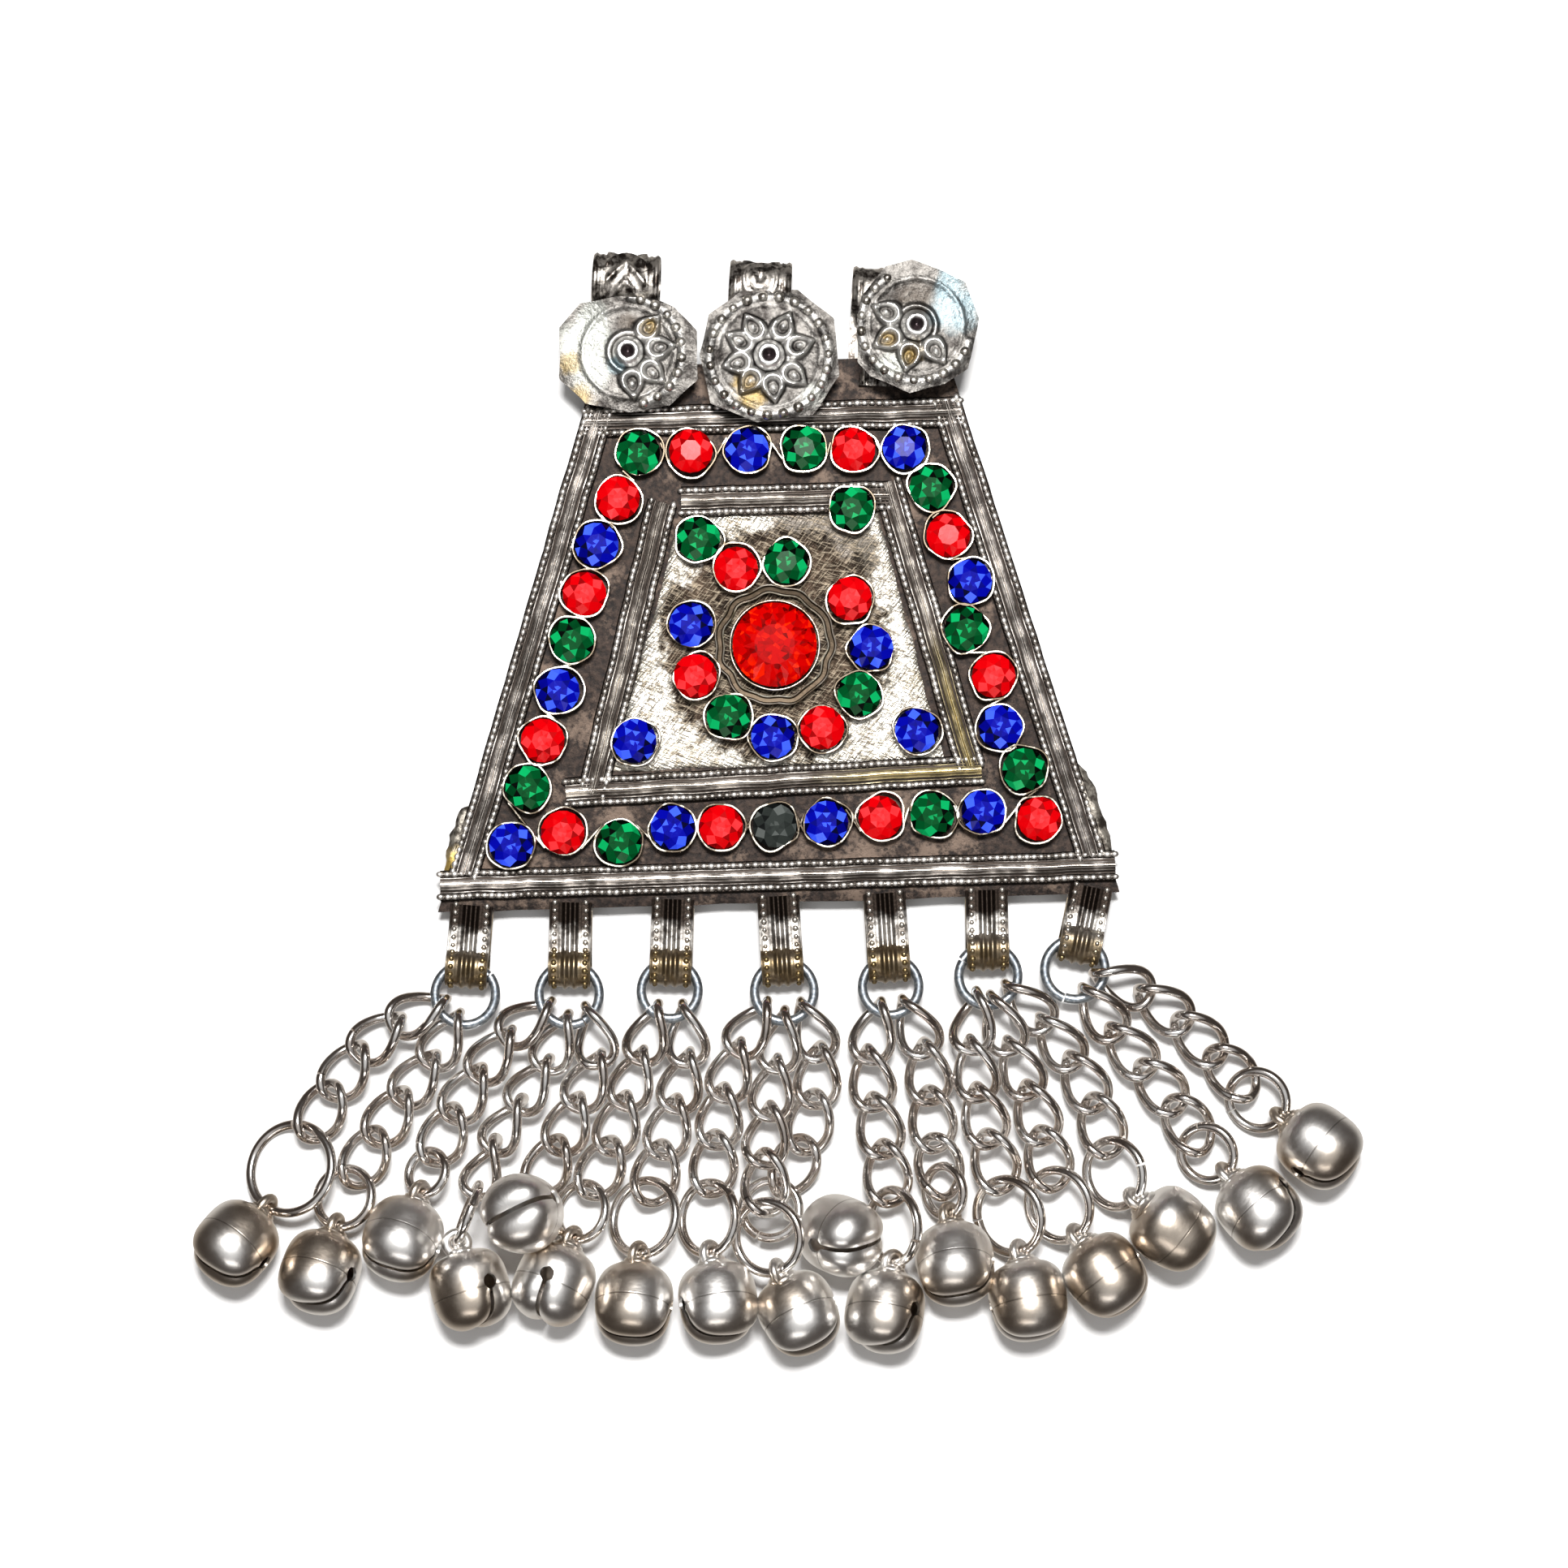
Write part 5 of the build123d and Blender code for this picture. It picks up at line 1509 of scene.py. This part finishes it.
def lay_strand(row):
    """Where a strand's links, end ring and bell lie."""
    (name, ring, leaves_at, route, heights, rolls, ring_towards, ring_outer, lean, slack,
     loop_height, bell_towards, slit_turn, tip) = row
    bell_height, loop_towards = LIFTED_BELLS.get(name, (BELL_RADIUS, bell_towards))
    ring_x, ring_y, jump_outer = JUMP_RINGS[ring - 1]
    jump_middle = Vector((ring_x, ring_y, 0))
    out = (flat(leaves_at) - jump_middle).normalized()
    on_wire = jump_middle + out * ((jump_outer - JUMP_WIRE) / 2)
    plan = [flat(point) for point in route] + [flat(ring_towards)]
    first_axis = (out * HOOK_PULL + (plan[0] - on_wire).normalized()).normalized()
    start = on_wire - first_axis * (JUMP_WIRE / 2 + LINK_WIRE / 2 + LINK_GAP - HOOK_HALF)
    points = crossings(Vector((start.x, start.y, heights[0])), plan, heights[1:])
    links = []
    for before, after, roll in zip(points, points[1:], rolls):
        links.append(((before + after) / 2, (after - before).normalized(), roll))

    last_middle, last_axis = links[-1][:2]
    hooked = last_middle + last_axis * (LINK_HALF - LINK_WIRE / 2 - END_WIRE / 2 - LINK_GAP - slack)
    radius = (ring_outer - END_WIRE) / 2
    aim = flat(flat(ring_towards) - hooked).normalized()
    rise = loop_height - hooked.z
    chord = (aim + UP * (rise / math.sqrt((2 * radius) ** 2 - rise**2))).normalized()
    side = UP.cross(chord).normalized()
    tipped = math.radians(lean)
    normal = chord.cross(side) * math.cos(tipped) + side * math.sin(tipped)
    ring_middle = hooked + chord * radius
    pull = flat(loop_towards) + UP * bell_height - ring_middle
    outward = (pull - normal * pull.dot(normal)).normalized()
    hung = ring_middle + outward * radius
    drop = bell_height - hung.z
    heading = flat(flat(bell_towards) - hung).normalized()
    bell = hung + heading * math.sqrt(LOOP_REACH**2 - drop**2) + UP * drop
    return links, ring_middle, normal, radius, bell, (hung - bell).normalized(), normal.cross(outward)


def eased(value):
    """A rounder cosine or sine, for a loop with full shoulders."""
    return math.copysign(abs(value) ** LINK_EASE, value)


def link_points(middle, axis, roll, cut_side):
    """Points round a link's wire, from one side of its cut to the other."""
    side = UP.cross(axis).normalized()
    rise = axis.cross(side)
    points = []
    for step in range(LINK_STEPS + 1):
        angle = cut_side * (CUT_ANGLE + (2 * math.pi - CUT_GAP) * step / LINK_STEPS)
        along = LINK_HALF * eased(math.cos(angle))
        out = LINK_SPREAD * eased(math.sin(angle))
        twist = math.radians(roll - LINK_TWIST * along / LINK_HALF)
        points.append(middle + axis * along + side * (out * math.cos(twist)) + rise * (out * math.sin(twist)))
    return points


def circle_points(middle, normal, radius, start=0.0, gap=0.0, lift=0.0):
    """A ring's wire from one cut end round to the other, its ends sprung apart by lift."""
    one = normal.cross(UP if abs(normal.z) < 0.9 else Vector((1, 0, 0))).normalized()
    two = normal.cross(one)
    points = []
    for step in range(RING_STEPS):
        share = step / (RING_STEPS - 1)
        angle = start + (2 * math.pi - gap) * share
        away = one * math.cos(angle) + two * math.sin(angle)
        points.append(middle + away * radius + normal * lift * (share - 0.5))
    return points


# Bells: a hollow shell, its poles to the sides of the slit, with rolled lips
BELL_TURNS = 96
BELL_ROWS = 15
BELL_SWELL = 0.975
MOUTH_POWER = 3.1
CROWN_POWER = 2.7
LIP_DEPTH = 0.42
LIP_SPAN = 1.5
SHELL_WALL = 0.3
FLOOR_GAP = 0.02
CROWN_PROFILE = (
    (1.75, 3.72), (1.5, 4.06), (1.2, 4.2), (1.16, 4.42), (0.98, 4.54), (0.62, 4.58), (0.52, 4.8),
    (0.3, 5.0),
)
CROWN_TURNS = 28


def bell_reach(x, y, z):
    """How far the shell stands from the middle: round about its pole, with full shoulders."""
    power = MOUTH_POWER if z < 0 else CROWN_POWER
    return BELL_SWELL * (math.hypot(x, y) ** power + abs(z) ** power) ** (-1 / power)


def lathed(shape, middle, axis, profile):
    """A form turned about an axis, from (radius, height) pairs."""
    one = axis.cross(Vector((1, 0, 0)) if abs(axis.x) < 0.9 else UP).normalized()
    two = axis.cross(one)
    first = len(shape.points)
    for radius, height in profile:
        for step in range(CROWN_TURNS):
            angle = 2 * math.pi * step / CROWN_TURNS
            away = one * math.cos(angle) + two * math.sin(angle)
            shape.points.append(middle + axis * height + away * radius)
            shape.lay.append((angle * 2, -height / BELL_RADIUS))
    shape.faces += grid_faces(len(profile), CROWN_TURNS, first, closed=True)
    last = first + (len(profile) - 1) * CROWN_TURNS
    shape.faces.append(tuple(range(last, last + CROWN_TURNS)))


def sealed(piece, gap=0.004):
    """Doubles merged and faces turned outwards."""
    work = bmesh.new()
    work.from_mesh(piece.data)
    bmesh.ops.remove_doubles(work, verts=work.verts, dist=gap * MM)
    bmesh.ops.recalc_face_normals(work, faces=work.faces)
    work.to_mesh(piece.data)
    work.free()
    return piece


def bell_piece(name, middle, towards, slit_turn, tip, metal):
    """A bell that hangs towards its shank, its mouth raised by tip, its slit turned about it."""
    pole = towards * -1
    across = UP.cross(pole).normalized()
    raised = math.radians(tip)
    pole = pole * math.cos(raised) + pole.cross(across) * math.sin(raised)
    turned = math.radians(slit_turn)
    slit = across * math.cos(turned) + pole.cross(across) * math.sin(turned)
    over = pole.cross(slit)
    shape = Shape()
    half_slit = math.asin(SLIT_WIDTH / 2 / BELL_RADIUS)
    for half in (1, -1):
        first = len(shape.points)
        for row in range(BELL_ROWS + 1):
            share = row / BELL_ROWS
            for column in range(BELL_TURNS):
                turn = 2 * math.pi * column / BELL_TURNS
                off_hole = BELL_RADIUS * math.sin(turn)
                hole = math.sqrt(max(0.0, SLIT_HOLE**2 - off_hole**2)) / BELL_RADIUS
                hole = hole if abs(math.cos(turn)) > 0.9 else 0.0
                open_half = math.sin(turn) > 1e-6
                edge = max(half_slit, hole) if open_half else hole
                lift = edge + (math.pi / 2 - edge) * share**1.25
                x, y = math.cos(lift) * math.cos(turn), half * math.sin(lift)
                z = math.cos(lift) * math.sin(turn)
                away = BELL_RADIUS * bell_reach(x, y, z)
                gap = (lift - edge) * BELL_RADIUS
                if open_half and gap < LIP_SPAN:
                    away -= LIP_DEPTH * (1 - gap / LIP_SPAN) ** 2 * min(1.0, math.sin(turn) * 3)
                local = Vector((x, y, z)) * away
                point = middle + slit * local.x + over * local.y + pole * local.z
                point.z = max(point.z, FLOOR_GAP)
                shape.points.append(point)
                shape.lay.append((math.atan2(y, x) * 2, z))
        shape.faces += grid_faces(BELL_ROWS + 1, BELL_TURNS, first, closed=True, turned=half < 0)
    lathed(shape, middle, towards, CROWN_PROFILE)
    shell = sealed(shape.piece(name, metal))
    wall = shell.modifiers.new("wall", "SOLIDIFY")
    wall.thickness = SHELL_WALL * MM
    wall.offset = -1
    return crisp(made_plain(shell, name), 48)


chain_metal = finish("bright_nickel", bright_nickel)
bell_metal = finish("satin_nickel", satin_nickel)
for number, row in enumerate(STRANDS):
    name = row[0]
    links, ring_middle, ring_normal, ring_radius, bell_middle, bell_axis, ring_wire = lay_strand(row)
    shape = line_shape("strand")
    for index, (link_middle, link_axis, link_roll) in enumerate(links):
        cut_side = -1 if (number + index) % 3 else 1
        add_line(shape, link_points(link_middle, link_axis, link_roll, cut_side), LINK_WIRE)
    ring = circle_points(
        ring_middle, ring_normal, ring_radius, number * 1.7, END_RING_GAP, END_RING_SPRUNG
    )
    add_line(shape, ring, END_WIRE)
    placed(wire_piece("curb_strand_" + name, shape, chain_metal, 14), "chain_metal", "chain_" + name)

    bell = bell_piece("jingle_bell_" + name, bell_middle, bell_axis, row[-2], row[-1], bell_metal)
    placed(bell, "bell_metal", "bell_" + name)
    loop_axis = (ring_wire - bell_axis * ring_wire.dot(bell_axis)).normalized()
    eye = circle_points(bell_middle + bell_axis * SHANK_REACH, loop_axis, SHANK_RADIUS)
    eye_shape = line_shape("eye")
    add_line(eye_shape, eye, SHANK_WIRE)
    placed(wire_piece("bell_eye_" + name, eye_shape, bell_metal, 12, 0.2), "bell_metal", "bell_" + name)

# A pale floor, soft lights, and the camera almost straight above
FLOOR_HALF = 1.5
CAMERA_PLACE = Vector((0.6, -12.0, 450.0)) * MM
CAMERA_AIM = Vector((0.6, 2.3, 2.0)) * MM
SEEN_WIDTH = 164.2 * MM


def pale_floor(tree):
    fine = tree.grain(0.02, 2)
    return {
        "Base Color": tree.blend(fine, (0.86, 0.86, 0.86), (0.9, 0.9, 0.9)), "Roughness": 0.7,
        "Specular IOR Level": 0.2,
    }


floor_mesh = bpy.data.meshes.new("floor")
floor_mesh.from_pydata(
    [(-FLOOR_HALF, -FLOOR_HALF, 0), (FLOOR_HALF, -FLOOR_HALF, 0), (FLOOR_HALF, FLOOR_HALF, 0),
     (-FLOOR_HALF, FLOOR_HALF, 0)], [], [(0, 1, 2, 3)],
)
floor_mesh.materials.append(finish("pale_floor", pale_floor))
floor = linked("floor", floor_mesh)
floor.visible_glossy = False  # the metal shows the dim room, not the bright floor


def soft_light(name, place, aim, width, height, power, colour=(1, 1, 1)):
    data = bpy.data.lights.new(name, "AREA")
    data.shape = "RECTANGLE"
    data.size, data.size_y, data.energy, data.color = width, height, power, colour
    light = linked(name, data)
    light.location = place
    light.rotation_mode = "QUATERNION"
    light.rotation_quaternion = (Vector(aim) - Vector(place)).to_track_quat("-Z", "Y")


soft_light("flash", (0.01, 0.2, 0.6), (0, -0.005, 0), 0.16, 0.1, 6.4, (1, 0.99, 0.98))
soft_light("fill", (-0.05, -0.6, 0.5), (0, 0, 0), 0.5, 0.12, 0.7, (1, 0.97, 0.94))

world = bpy.data.worlds.new("room")
world.use_nodes = True
world.node_tree.nodes.clear()
room = Tree(world.node_tree)
way = room.node("ShaderNodeTexCoord", out="Generated")
height = room.part(way, 2)
walls = room.blend(height.step(0.6, 0.97), (0.06, 0.05, 0.044), (0.6, 0.6, 0.6))
walls = room.blend(height.step(-0.25, -0.85), walls, (0.72, 0.68, 0.63))
light = room.node("ShaderNodeBackground", {}, {"Color": walls, "Strength": 1.0})
room.node("ShaderNodeOutputWorld", {}, {"Surface": light})
bpy.context.scene.world = world
bpy.context.scene.view_settings.view_transform = "Standard"

camera_data = bpy.data.cameras.new("camera")
camera = linked("camera", camera_data)
camera.location = CAMERA_PLACE
camera.rotation_mode = "QUATERNION"
camera.rotation_quaternion = (CAMERA_AIM - CAMERA_PLACE).to_track_quat("-Z", "Y")
camera_data.sensor_width = 36
camera_data.lens = 36 * (CAMERA_AIM - CAMERA_PLACE).length / SEEN_WIDTH
camera_data.clip_start, camera_data.clip_end = 0.05, 5
bpy.context.scene.camera = camera
